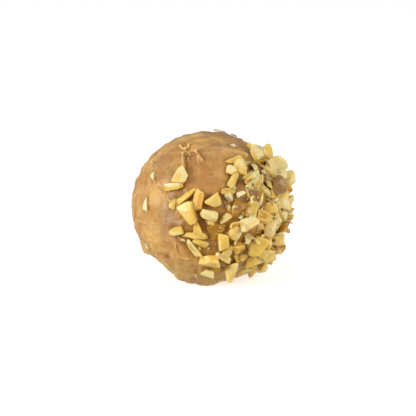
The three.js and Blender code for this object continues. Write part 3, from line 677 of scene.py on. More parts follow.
class TailSettings(bpy.types.PropertyGroup):
    """Pulled tails and strings of chocolate."""

    sides: count_value("Sides", "Sides of a tail", 10)
    body: colour_value("Body", "Stalk of a tail", 222, 176, 106)
    tip: colour_value("Tip", "Pale tip of a tail", 244, 208, 132)


class StageSettings(bpy.types.PropertyGroup):
    """Floor, lights and camera."""

    lens: bpy.props.FloatProperty(
        name="Lens", description="Focal length of the camera", default=200, unit="CAMERA",
    )
    frame_width: length_value("Frame Width", "Width of the picture at the ball", 137.7)
    sky: number_value("Sky", "Strength of the light from above and all round", 0.37)
    bounce: number_value("Bounce", "Strength of the light that a white table throws back from below", 0.64)
    bounce_tint: colour_value("Bounce Tint", "Colour of the light from below", 255, 246, 226)
    key: number_value("Key", "Strength of the soft light at the left", 0.88)
    fill: number_value("Fill", "Strength of the soft light at the right", 0.7)
    floor_glow: number_value("Floor Glow", "Light that the floor gives back beyond what falls on it", 0.52)


class SphereSettings(bpy.types.PropertyGroup):
    """All settings of the hot chocolate sphere."""

    coat: bpy.props.PointerProperty(type=CoatSettings)
    nuts: bpy.props.PointerProperty(type=NutSettings)
    crumbs: bpy.props.PointerProperty(type=CrumbSettings)
    tails: bpy.props.PointerProperty(type=TailSettings)
    stage: bpy.props.PointerProperty(type=StageSettings)


def values_of(settings, *labels):
    """The settings that have these labels, by label."""
    return {label: getattr(settings, label.lower().replace(" ", "_")) for label in labels}


# Rules that the part's source shares

def draw(item, purpose):
    """A repeatable draw from 0 to 1."""
    wave = math.sin(item * ITEM_STEP + purpose * PURPOSE_STEP + SEED) * WAVE_SIZE
    return wave - math.floor(wave)


def draw_between(item, purpose, limits):
    return limits[0] + (limits[1] - limits[0]) * draw(item, purpose)


def draw_vector(item, purpose):
    """Three repeatable draws from -1 to 1."""
    return np.array([draw_between(item, purpose + axis, (-1, 1)) for axis in range(3)])


def unit(vectors):
    return vectors / np.linalg.norm(vectors, axis=-1, keepdims=True)


def spiral_direction(index, count, pole, reach):
    """Step number index of count along an even spiral over the part of a sphere within reach of pole."""
    height = 1 - ((index + 0.5) / count) * (1 - math.cos(reach))
    ring = math.sqrt(1 - height * height)
    angle = index * GOLDEN_ANGLE
    side = unit(np.cross(UPWARD, pole)) if abs(UPWARD @ pole) < 1 else RIGHT
    rise = np.cross(pole, side)
    return side * (ring * math.cos(angle)) + rise * (ring * math.sin(angle)) + pole * height


def mark_point(across, up, radius=BALL_RADIUS):
    """The point of a sphere that is seen at a mark; a mark past the outline lies level with the centre."""
    depth = math.sqrt(max(0.0, radius ** 2 - across ** 2 - up ** 2))
    nearer = 1 - depth / VIEW_DISTANCE
    return (RIGHT * across + UPWARD * up) * nearer + TOWARD * depth


def coat_lumps():
    """Directions, heights and spreads of the lumps of the coat."""
    lumps = [(unit(mark_point(across, up)), height, spread) for across, up, height, spread in COAT_MARKS]
    for index in range(LUMP_COUNT):
        direction = spiral_direction(index, LUMP_COUNT, TOWARD, math.pi)
        height = draw_between(index, DRAW_LUMP_HEIGHT, (-LUMP_HEIGHT, LUMP_HEIGHT))
        lumps.append((direction, height, draw_between(index, DRAW_LUMP_SPREAD, LUMP_SPREAD)))
    directions, heights, spreads = zip(*lumps)
    return np.array(directions), np.array(heights), np.radians(spreads)


LUMPS = coat_lumps()


def coat_radius(directions):
    """How far the coat lies from the ball's centre in each direction."""
    lump_directions, heights, spreads = LUMPS
    angles = np.arccos(np.clip(directions @ lump_directions.T, -1, 1))
    return BALL_RADIUS + (heights * np.exp(-((angles / spreads) ** 2))).sum(axis=-1)


class Nut:
    """One chopped nut: its kind, sizes, narrowing, axes and look, and its centre from the ball's."""

    def __init__(self, kind, item, length, width, narrow, along, out, look):
        self.kind = kind
        self.item = item
        self.size = np.array((length, width, width * NUT_KINDS[kind]["thick"]))
        self.narrow = narrow
        self.centre = None
        self.out = out
        self.across = unit(np.cross(out, along))
        self.along = np.cross(self.across, out)
        self.look = look

    def seat(self, direction):
        """How far above the coat its middle lies, so that its lowest part sinks in."""
        height = np.abs(np.array((self.along, self.across, self.out)) @ direction) @ self.size / 2
        return height * (1 - NUT_SINK_SHARE) - NUT_SINK


def turned(vector, axis, angle):
    """A vector turned about an axis at right angles to it."""
    return vector * math.cos(angle) + np.cross(axis, vector) * math.sin(angle)


def placed_nut(item, row):
    """A nut that can be told apart, turned as it shows from the front."""
    kind, across, up, length, width, turn, narrow, stand, roll, look = row
    turn, roll = math.radians(turn), math.radians(roll)
    direction = unit(mark_point(across, up))
    face = unit(direction + (TOWARD - direction) * stand)
    side = unit(np.cross(face, RIGHT * math.cos(turn) + UPWARD * math.sin(turn)))
    along = np.cross(side, face)
    nut = Nut(kind, item, length, width, narrow, along, turned(face, along, roll), look)
    nut.centre = mark_point(across, up, coat_radius(direction) + nut.seat(direction))
    return nut


def strewn_nut(kind, item, direction, look, lean=NUT_LEAN, lengths=None, widths=None):
    """A nut that lies at a direction, with its sizes, narrowing, turn and lean drawn."""
    length = draw_between(item, DRAW_LENGTH, lengths or NUT_KINDS[kind]["length"])
    width = length * draw_between(item, DRAW_WIDTH, widths or NUT_KINDS[kind]["width"])
    side = unit(np.cross(direction, draw_vector(item, DRAW_TURN)))
    out = turned(direction, side, draw_between(item, DRAW_LEAN, (-lean, lean)))
    narrow = draw_between(item, DRAW_NARROW, NUT_KINDS[kind]["narrow"])
    nut = Nut(kind, item, length, width, narrow, np.cross(side, out), out, look)
    nut.centre = direction * (coat_radius(direction) + nut.seat(direction))
    return nut


def even_spread(first, count, pole, reach):
    """Numbers from first on, with directions spread evenly within reach of pole."""
    return [(first + index, spiral_direction(index, count, pole, reach)) for index in range(count)]


def choose_nuts():
    """Placed nuts, those carried on round them, stray bits behind, and flakes where nuts lie thickest."""
    nuts = [placed_nut(item, row) for item, row in enumerate(PLACED_NUTS)]
    placed = np.array([nut.centre for nut in nuts])
    pole = unit(mark_point(*NUT_SIDE))
    thickest = unit(mark_point(*FLAKE_SIDE))

    def is_clear(direction, distance):
        return np.linalg.norm(placed - direction * BALL_RADIUS, axis=1).min() >= distance

    first = len(PLACED_NUTS)
    for item, direction in even_spread(first, SPREAD_COUNT, pole, SPREAD_REACH):
        is_behind = direction @ TOWARD <= SPREAD_FRONT
        if is_behind and direction[2] >= LOWEST_NUT and is_clear(direction, SPREAD_KEEP_OFF):
            kind = SPREAD_KINDS[item % len(SPREAD_KINDS)]
            nuts.append(strewn_nut(kind, item, direction, SPREAD_LOOKS[item % len(SPREAD_LOOKS)]))
    first += SPREAD_COUNT
    for item, direction in even_spread(first, STRAY_COUNT, -pole, math.pi / 2):
        if direction @ TOWARD <= 0 and direction[2] >= LOWEST_NUT:
            sizes = {"lengths": STRAY_LENGTH, "widths": STRAY_WIDTH}
            nuts.append(strewn_nut("chunk", item, direction, "white", **sizes))
    first += STRAY_COUNT
    for item, direction in even_spread(first, FLAKE_COUNT, thickest, FLAKE_REACH):
        if is_clear(direction, FLAKE_KEEP_OFF):
            look = SPREAD_LOOKS[item % len(SPREAD_LOOKS)]
            nuts.append(strewn_nut("flake", item, direction, look, FLAKE_LEAN))
    return nuts


NUTS = choose_nuts()


# Meshes and node trees

def new_piece(name, points, faces=(), edges=()):
    """A mesh object at the origin; points are millimetres from the ball's centre."""
    mesh = bpy.data.meshes.new(name)
    placed = (np.asarray(points) + (0, 0, CENTRE_HEIGHT)) * MM
    mesh.from_pydata(placed.tolist(), edges, faces)
    piece = bpy.data.objects.new(name, mesh)
    bpy.context.scene.collection.objects.link(piece)
    return piece


def add_attributes(piece, **attributes):
    """Stores one number or one vector for each point of a piece, under each name."""
    for name, values in attributes.items():
        values = np.asarray(values, dtype=np.float32)
        is_vector = values.ndim == 2
        stored = piece.data.attributes.new(name, "FLOAT_VECTOR" if is_vector else "FLOAT", "POINT")
        stored.data.foreach_set("vector" if is_vector else "value", values.ravel())


class Term:
    """What a socket of a node tree gives; arithmetic with it adds nodes to the tree."""

    def __init__(self, sketch, socket):
        self.sketch = sketch
        self.socket = socket

    def __add__(self, other):
        return self.sketch.work_out("ADD", self, other)

    def __sub__(self, other):
        return self.sketch.work_out("SUBTRACT", self, other)

    def __rsub__(self, other):
        return self.sketch.work_out("SUBTRACT", other, self)

    def __mul__(self, other):
        return self.sketch.work_out("MULTIPLY", self, other)

    def __truediv__(self, other):
        return self.sketch.work_out("DIVIDE", self, other)

    def __rtruediv__(self, other):
        return self.sketch.work_out("DIVIDE", other, self)

    def __abs__(self):
        return self.sketch.work_out("ABSOLUTE", self)

    def parts(self):
        """The three numbers of a vector."""
        node = self.sketch.node("ShaderNodeSeparateXYZ", {"Vector": self})
        return [Term(self.sketch, output) for output in node.outputs]


class Sketch:
    """Adds nodes to a tree. A value given to a node is a term to link or a constant to set."""

    def __init__(self, tree):
        self.tree = tree

    def feed(self, socket, value):
        if isinstance(value, Term):
            self.tree.links.new(value.socket, socket)
        elif socket.type == "RGBA":
            socket.default_value = (*value, 1.0)
        elif socket.type == "VECTOR" and not isinstance(value, tuple):
            socket.default_value = (value, value, value)
        else:
            socket.default_value = value

    def node(self, kind, values=None, **settings):
        node = self.tree.nodes.new(kind)
        for name, value in settings.items():
            setattr(node, name, value)
        for name, value in (values or {}).items():
            self.feed(node.inputs[name], value)
        return node

    def term(self, kind, output, values=None, **settings):
        """One output of a new node."""
        return Term(self, self.node(kind, values, **settings).outputs[output])

    def work_out(self, operation, *values):
        """The result of maths, with vectors if any of the values is one."""
        kind, output = "ShaderNodeMath", "Value"
        for value in values:
            if isinstance(value, tuple) or isinstance(value, Term) and value.socket.type == "VECTOR":
                kind = "ShaderNodeVectorMath"
                output = "Value" if operation in VECTOR_TO_NUMBER else "Vector"
        return self.term(kind, output, dict(enumerate(values)), operation=operation)

    def joined(self, x, y, z):
        return self.term("ShaderNodeCombineXYZ", "Vector", {"X": x, "Y": y, "Z": z})

    def noise(self, vector, scale, detail, roughness=0.5):
        values = {"Vector": vector, "Scale": scale, "Detail": detail, "Roughness": roughness}
        return self.term("ShaderNodeTexNoise", "Fac", values)

    def ramp(self, value, from_low, from_high, to_low=0.0, to_high=1.0):
        values = {
            "Value": value, "From Min": from_low, "From Max": from_high, "To Min": to_low, "To Max": to_high,
        }
        return self.term("ShaderNodeMapRange", "Result", values, interpolation_type="SMOOTHSTEP")

    def mix(self, factor, first, second):
        """A colour from first at factor 0 to second at factor 1."""
        values = {"Factor": factor, MIX_FIRST_COLOUR: first, MIX_SECOND_COLOUR: second}
        return self.term("ShaderNodeMix", MIX_COLOUR, values, data_type="RGBA")

    def blend(self, factor, first, second):
        """A number from first at factor 0 to second at factor 1."""
        values = {"Factor": factor, "A": first, "B": second}
        return self.term("ShaderNodeMix", "Result", values, data_type="FLOAT")


class ShapeTree(Sketch):
    """A geometry node tree; inputs gives the labels of its inputs for each type of socket."""

    def __init__(self, name, **inputs):
        super().__init__(bpy.data.node_groups.new(name, "GeometryNodeTree"))
        interface = self.tree.interface
        interface.new_socket("Geometry", in_out="OUTPUT", socket_type="NodeSocketGeometry")
        interface.new_socket("Geometry", in_out="INPUT", socket_type="NodeSocketGeometry")
        interface.new_socket("Material", in_out="INPUT", socket_type="NodeSocketMaterial")
        for kind, labels in inputs.items():
            for label in labels:
                interface.new_socket(label, in_out="INPUT", socket_type="NodeSocket" + kind)
        outputs = self.node("NodeGroupInput").outputs
        self.given = {output.name: Term(self, output) for output in outputs}

    def place(self):
        return self.term("GeometryNodeInputPosition", "Position")

    def normal(self):
        return self.term("GeometryNodeInputNormal", "Normal")

    def number(self, name):
        """A number that each point stores."""
        values = {"Name": name}
        return self.term("GeometryNodeInputNamedAttribute", "Attribute", values, data_type="FLOAT")

    def vector(self, name):
        """A vector that each point stores."""
        values = {"Name": name}
        return self.term("GeometryNodeInputNamedAttribute", "Attribute", values, data_type="FLOAT_VECTOR")

    def stored(self, geometry, name, value, data_type="FLOAT"):
        values = {"Geometry": geometry, "Name": name, "Value": value}
        kind = "GeometryNodeStoreNamedAttribute"
        return self.term(kind, "Geometry", values, data_type=data_type, domain="POINT")

    def moved(self, geometry, **values):
        """The geometry with a new Position or an Offset for each point."""
        return self.term("GeometryNodeSetPosition", "Geometry", {"Geometry": geometry, **values})

    def above_floor(self, geometry):
        return self.moved(geometry, Position=self.work_out("MAXIMUM", self.place(), LOWEST_CORNER))

    def strewn(self, points, instance, **values):
        """An instance on each point, made real."""
        values = {"Points": points, "Instance": instance, **values}
        laid = self.term("GeometryNodeInstanceOnPoints", "Instances", values)
        return self.term("GeometryNodeRealizeInstances", "Geometry", {"Geometry": laid})

    def random_number(self, seed):
        return self.term("FunctionNodeRandomValue", 1, {"Seed": seed}, data_type="FLOAT")

    def random_vector(self, seed, limits):
        values = {"Seed": seed, "Min": limits[0], "Max": limits[1]}
        return self.term("FunctionNodeRandomValue", 0, values, data_type="FLOAT_VECTOR")

    def finish(self, geometry):
        """Ends the tree: instances made real, smooth shading and the material."""
        for kind in ("GeometryNodeRealizeInstances", "GeometryNodeSetShadeSmooth"):
            geometry = self.term(kind, "Geometry", {"Geometry": geometry})
        values = {"Geometry": geometry, "Material": self.given["Material"]}
        painted = self.term("GeometryNodeSetMaterial", "Geometry", values)
        self.node("NodeGroupOutput", {"Geometry": painted})
        return self.tree


def shape(piece, tree, values):
    """Runs a node tree on a piece with the given input values and keeps the result as its plain mesh."""
    modifier = piece.modifiers.new(tree.name, "NODES")
    modifier.node_group = tree
    for item in tree.interface.items_tree:
        if item.in_out == "INPUT" and item.name in values:
            modifier[item.identifier] = values[item.name]
    graph = bpy.context.evaluated_depsgraph_get()
    made = bpy.data.meshes.new_from_object(
        piece.evaluated_get(graph), preserve_all_data_layers=True, depsgraph=graph,
    )
    piece.modifiers.remove(modifier)
    rough = piece.data
    piece.data = made
    bpy.data.meshes.remove(rough)
    made.name = piece.name


def hand_over(piece):
    """Gives a finished piece to the frame."""
    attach(piece, BODY)
    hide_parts(NODE)


# Materials

class Paint(Sketch):
    """The node tree of a new material."""

    def __init__(self, name):
        self.material = bpy.data.materials.new(name)
        self.material.use_nodes = True
        super().__init__(self.material.node_tree)

    def pattern(self, size, detail, roughness):
        """Noise fixed to the piece; size is in millimetres."""
        place = self.term("ShaderNodeTexCoord", "Object")
        return self.noise(place, 1 / (size * MM), detail, roughness)

    def read(self, name):
        """A number that the mesh stores."""
        return self.term("ShaderNodeAttribute", "Fac", attribute_name=name)

    def spread(self, pattern, low, high):
        """A noise pattern spread from low to high."""
        return self.ramp(pattern, *NOISE_RANGE, low, high)

    def gloss(self, pattern, roughness, strays):
        """A roughness that strays with a noise pattern."""
        return self.ramp(pattern, *GLOSS_NOISE, *(roughness + stray for stray in strays))

    def clamped(self, value):
        return self.term("ShaderNodeClamp", "Result", {"Value": value})

    def bump(self, height, strength, distance):
        values = {"Height": height, "Strength": strength, "Distance": distance * MM}
        return self.term("ShaderNodeBump", "Normal", values)

    def finish(self, values):
        """Sets the main shader and gives the material."""
        shader = self.tree.nodes["Principled BSDF"]
        for name, value in values.items():
            self.feed(shader.inputs[name], value)
        return self.material


def milk_chocolate(coat):
    """Streaks, golden and dull patches, dark spots and fine specks, with painted shade at and between the
    nuts, in pits and over wide faint spots, painted sheen in the dull patches and painted bounce light on
    the lower rim.
    """
    paint = Paint("milk_chocolate")
    tint = paint.pattern(COAT_TINT_SIZE, detail=3, roughness=0.6)
    speck = paint.pattern(COAT_SPECK_SIZE, detail=2, roughness=0.7)
    grain = paint.pattern(COAT_GRAIN_SIZE, detail=3, roughness=0.6)
    streak = paint.read("smear") + paint.spread(tint, -TINT_STRAY, TINT_STRAY)
    colour = paint.mix(paint.ramp(streak, *TAN_STREAKS), coat.brown, coat.tan)
    colour = paint.mix(paint.ramp(streak, *LIGHT_STREAKS), colour, coat.light_tan)
    # Golden patches, and painted bounce light on the lower left rim
    colour = paint.mix(paint.read("gold"), colour, coat.golden)
    # Dull patches: partly dull chocolate, partly painted sheen
    colour = paint.mix(paint.read("dull"), colour, coat.dull)
    # Where the nuts crowd the coat turns caramel: partly its own colour, partly painted shade between the
    # nuts
    colour = paint.mix(paint.read("crowd") * CROWD_TINT_AND_SHADE, colour, coat.caramel_and_shade)
    # Painted shade: the coat darkens towards gap brown at the foot of each nut and in the gaps between the
    # front nuts
    foot = paint.read("cling") * paint.spread(tint, *FOOT_SHADE)
    colour = paint.mix(paint.work_out("MAXIMUM", foot, paint.read("gap")), colour, coat.gap)
    # Dark spots, partly painted shade in pits and over wide faint areas
    colour = paint.mix(paint.read("dark"), colour, coat.deep_and_shade)
    colour = paint.mix(paint.ramp(speck, *DARK_SPECKS), colour, coat.brown)
    colour = paint.mix(paint.ramp(speck, *PALE_SPECKS), colour, coat.light_tan)
    return paint.finish({
        "Base Color": colour,
        "Roughness": paint.gloss(tint, coat.roughness, COAT_GLOSS),
        "Specular IOR Level": 0.28,
        "Subsurface Weight": 0.25,
        "Subsurface Radius": (1.0, 0.45, 0.15),
        "Subsurface Scale": 0.9 * MM,
        "Normal": paint.bump(grain, strength=0.35, distance=0.06),
    })


def cut_nut(name, nuts, glow, paler):
    """A cut nut: faces of different tones, a film of chocolate or a skin on some, and painted light: a glow
    at its thin rims, and a paler top over a deeper amber base.
    """
    paint = Paint(name)
    tone = paint.read("tone")
    cloud = paint.pattern(NUT_CLOUD_SIZE, detail=2, roughness=0.5)
    grain = paint.pattern(NUT_GRAIN_SIZE, detail=3, roughness=0.65)
    facet = paint.ramp(paint.read("facet"), 0.0, 1.0, -FACET_STRAY - paler, FACET_STRAY - paler)
    # Painted light and shade: each nut is paler at its top and deeper amber low down near the coat
    low = paint.ramp(paint.read("rise"), *PAINTED_HEIGHT_SHADES)
    shade = tone + facet + paint.spread(cloud, -CLOUD_STRAY, CLOUD_STRAY) + low
    colour = paint.mix(paint.ramp(shade, *GOLD_SHADES), nuts.cream, nuts.gold)
    colour = paint.mix(paint.ramp(shade, *AMBER_SHADES), colour, nuts.amber)
    # Painted light: the thin edges glow with the rim colour as if lit through
    edge = paint.read("edge") * paint.ramp(cloud, *EDGE_CLOUDS)
    colour = paint.mix(edge, colour, nuts.rim_glow)
    colour = paint.mix(paint.ramp(tone, *WHITE_TONES), colour, nuts.white)
    film = paint.clamped(paint.read("film") * paint.ramp(cloud, *FILM_CLOUDS))
    colour = paint.mix(film, colour, nuts.film)
    sunk = paint.clamped(paint.read("sunk") + paint.spread(grain, *SUNK_STRAY))
    colour = paint.mix(sunk, colour, nuts.film)
    skin = paint.read("skin") * paint.ramp(cloud, *SKIN_CLOUDS)
    colour = paint.mix(skin, colour, nuts.skin)
    gloss = paint.gloss(cloud, nuts.roughness, NUT_GLOSS)
    matt = paint.work_out("MAXIMUM", film, paint.ramp(tone, *MATT_TONES))
    return paint.finish({
        "Base Color": colour,
        "Roughness": gloss + matt * MATT_ROUGHNESS,
        "Specular IOR Level": 0.3,
        "Subsurface Weight": glow,
        "Subsurface Radius": (1.0, 1.0, 0.9),
        "Subsurface Scale": nuts.glow_depth,
        "Normal": paint.bump(grain, strength=0.15, distance=0.05),
    })


def tail_chocolate(coat, tails):
    """Pulled chocolate, paler at its tips."""
    paint = Paint("tail_chocolate")
    spots = paint.spread(paint.pattern(TAIL_SPOT_SIZE, detail=2, roughness=0.5), 0.0, 1.0)
    colour = paint.mix(paint.read("tip"), paint.mix(spots, coat.tan, tails.body), tails.tip)
    return paint.finish({"Base Color": colour, "Roughness": coat.roughness})


# Coat

def ball_grid(cells):
    """Unit directions and faces of a ball made of six square patches with even cells."""
    steps = np.arange(cells + 1)
    first, second = np.meshgrid(steps, steps, indexing="ij")
    patches = []
    for axis in range(3):
        for end in (0, cells):
            patch = np.empty((cells + 1, cells + 1, 3), dtype=int)
            patch[..., axis] = end
            patch[..., (axis + 1) % 3] = first if end else second
            patch[..., (axis + 2) % 3] = second if end else first
            patches.append(patch)
    lattice = np.stack(patches).reshape(-1, 3)
    keys = (lattice * (1, cells + 1, (cells + 1) ** 2)).sum(axis=1)
    where, back = np.unique(keys, return_index=True, return_inverse=True)[1:]
    numbers = back.reshape(len(patches), cells + 1, cells + 1)
    quads = np.stack(
        [numbers[:, :-1, :-1], numbers[:, 1:, :-1], numbers[:, 1:, 1:], numbers[:, :-1, 1:]], axis=-1,
    ).reshape(-1, 4)
    even = np.tan((lattice[where] / cells * 2 - 1) * math.pi / 4)
    return unit(even), quads


def faded(points, centre, radius):
    """A bump of 1 at a centre that fades to nothing past its radius, at each point."""
    return np.exp(-((np.linalg.norm(points - centre, axis=1) / radius) ** 2))


def near_marks(points, marks):
    """The strengths of marks (across, up, strength, radius) at each point, faded with distance."""
    total = np.zeros(len(points))
    for across, up, strength, radius in marks:
        total += strength * faded(points, mark_point(across, up), radius)
    return total


def near_specks(points):
    """How far small pimples raise each point, and pits lower it."""
    total = np.zeros(len(points))
    for index, even in even_spread(0, SPECK_COUNT, TOWARD, math.pi):
        direction = unit(even + draw_vector(index, DRAW_SPECK_PLACE) * SPECK_STRAY)
        height = draw_between(index, DRAW_SPECK_HEIGHT, SPECK_HEIGHT)
        if draw(index, DRAW_SPECK_KIND) < PIT_SHARE:
            height = -height
        radius = draw_between(index, DRAW_SPECK_RADIUS, SPECK_RADIUS)
        total += height * faded(points, direction * coat_radius(direction), radius)
    return total


def bowed(start, end, bow, steps):
    """Marks along an arc from start to end that bows to the left of the way."""
    start, end = np.array(start), np.array(end)
    way = end - start
    left = np.array((-way[1], way[0])) / np.linalg.norm(way)
    shares = np.linspace(0, 1, steps)[:, None]
    return start + way * shares + left * (4 * bow * shares * (1 - shares))


def near_paths(points, paths):
    """The strengths of paths (start, end, bow, strength, width) at each point, faded off each path."""
    total = np.zeros(len(points))
    for start, end, bow, strength, width in paths:
        marks = [mark_point(*mark) for mark in bowed(start, end, bow, RIDGE_STEPS)]
        total += strength * np.max([faded(points, mark, width) for mark in marks], axis=0)
    return total


def cling_to_nuts(points):
    """How close each point of the coat is to the foot of a nut, from 0 to 1."""
    cling = np.zeros(len(points))
    for nut in NUTS:
        apart = points - nut.centre
        close = np.flatnonzero(np.linalg.norm(apart, axis=1) < nut.size.max() / 2 + CLING_REACH)
        axes = np.array((nut.along, nut.across, nut.out))
        share = np.linalg.norm(apart[close] @ axes.T / (nut.size / 2 + CLING_MARGIN), axis=1)
        cling[close] = np.maximum(cling[close], np.clip(CLING_EDGE - share, 0, CLING_FADE) / CLING_FADE)
    return cling


def crowd_of_nuts(points):
    """How closely nuts crowd round each point of the coat, from 0 to 1."""
    crowd = np.zeros(len(points))
    for nut in NUTS:
        crowd += faded(points, nut.centre, CROWD_RADIUS) * nut.size[0] / CROWD_LENGTH
    return np.clip((crowd - CROWD_START) / CROWD_RANGE, 0, 1)


def coat_relief_tree():
    """Strokes of a hand round a swirl, streaks down the rest, thin crests between them, lumps and grain."""
    tree = ShapeTree(
        "Coat relief",
        Vector=("Ball Centre", "Swirl"),
        Float=(
            "Ball Radius", "Swirl Start", "Swirl End", "Smear Height", "Smear Spacing", "Crest Height",
            "Lump Height", "Lump Size", "Grain Height", "Grain Size",
        ),
    )
    given = tree.given
    apart = tree.place() - given["Ball Centre"]
    direction = tree.work_out("NORMALIZE", apart)
    wander = tree.noise(direction, WANDER_SCALE, detail=2)
    turn = tree.work_out("ARCCOSINE", tree.work_out("DOT_PRODUCT", direction, given["Swirl"]))
    bent = turn + (wander - NOISE_MEAN) * WANDER_BEND
    rings = bent * (given["Ball Radius"] / given["Smear Spacing"])
    flat = tree.work_out("CROSS_PRODUCT", direction, given["Swirl"]) * STROKE_SCALE
    strokes = tree.noise(flat + tree.joined(rings, 0.0, 0.0), 1.0, detail=3, roughness=0.6)
    loose = direction + tree.joined(wander, 0.0, wander) * STREAK_SHIFT
    streaks = tree.noise(loose * STREAK_SCALE, 1.0, detail=3, roughness=0.55)
    inner = tree.ramp(bent, given["Swirl Start"], given["Swirl Start"] + SWIRL_FADE_IN)
    outer = tree.ramp(bent, given["Swirl End"], given["Swirl End"] + SWIRL_FADE_OUT, 1.0, 0.0)
    share = inner * outer
    calm = inner * (1 - SWIRL_CALM) + SWIRL_CALM
    level = tree.ramp(inner, 0.0, 1.0, SWIRL_LEVEL, NOISE_MEAN)
    smear = (tree.blend(share, streaks, strokes) - NOISE_MEAN) * calm + level
    crest = tree.ramp(abs(smear - CREST_LEVEL), 0.0, CREST_WIDTH, 1.0, 0.0) * share
    height = (smear - NOISE_MEAN) * given["Smear Height"] + crest * given["Crest Height"]
    for name in ("Lump", "Grain"):
        bumps = tree.noise(apart, 1 / given[name + " Size"], detail=2)
        height = height + (bumps - NOISE_MEAN) * given[name + " Height"]
    coat = tree.stored(given["Geometry"], "smear", smear)
    coat = tree.moved(coat, Offset=direction * (height * RELIEF))
    return tree.finish(tree.above_floor(coat))


class CHOCOLATE_OT_coat(bpy.types.Operator):
    """Makes the chocolate coat, with its lumps, smears, ridges and pits"""

    bl_idname = "chocolate.make_coat"
    bl_label = "Chocolate Coat"

    def execute(self, context):
        coat = context.scene.chocolate_sphere.coat
        directions, quads = ball_grid(coat.cells)
        points = directions * coat_radius(directions)[:, None]
        cling = cling_to_nuts(points)
        specks = near_specks(points)
        strokes = near_paths(points, COAT_STROKES)
        height = cling * coat.cling_height / MM + near_marks(points, COAT_DOTS) + specks
        height += near_paths(points, COAT_RIDGES)
        raised = points + directions * height[:, None]
        raised[:, 2] = np.maximum(raised[:, 2], -CENTRE_HEIGHT)
        # Painted shade: pits darken with their depth; the brown side of the strokes adds its own colour
        dark = np.maximum(-specks, 0) * PIT_SHADE + np.maximum(-strokes, 0)
        piece = new_piece("chocolate_coat", raised, faces=quads.tolist())
        add_attributes(
            piece,
            cling=cling,
            crowd=crowd_of_nuts(points),
            gap=np.clip(near_marks(points, GAP_SHADE_MARKS), 0, 1),
            dark=np.clip(near_marks(points, DARK_AND_SHADED_SPOTS) + dark, 0, 1),
            gold=np.clip(near_marks(points, GOLD_AND_BOUNCE_PATCHES) + strokes, 0, 1),
            dull=np.clip(near_marks(points, DULL_AND_SHEEN_PATCHES), 0, 1),
            crumbs=np.clip((directions @ unit(mark_point(*NUT_SIDE)) - CRUMB_START) * CRUMB_RISE, 0, 1),
        )
        shape(piece, coat_relief_tree(), {
            "Material": milk_chocolate(coat),
            "Ball Centre": tuple(BALL_CENTRE),
            "Ball Radius": BALL_RADIUS * MM,
            "Swirl": tuple(unit(mark_point(*SWIRL))),
            "Swirl Start": SWIRL_START,
            "Swirl End": SWIRL_END,
            **values_of(
                coat, "Smear Height", "Smear Spacing", "Crest Height", "Lump Height", "Lump Size",
                "Grain Height", "Grain Size",
            ),
        })
        hand_over(piece)
        return {"FINISHED"}


# Chopped nuts

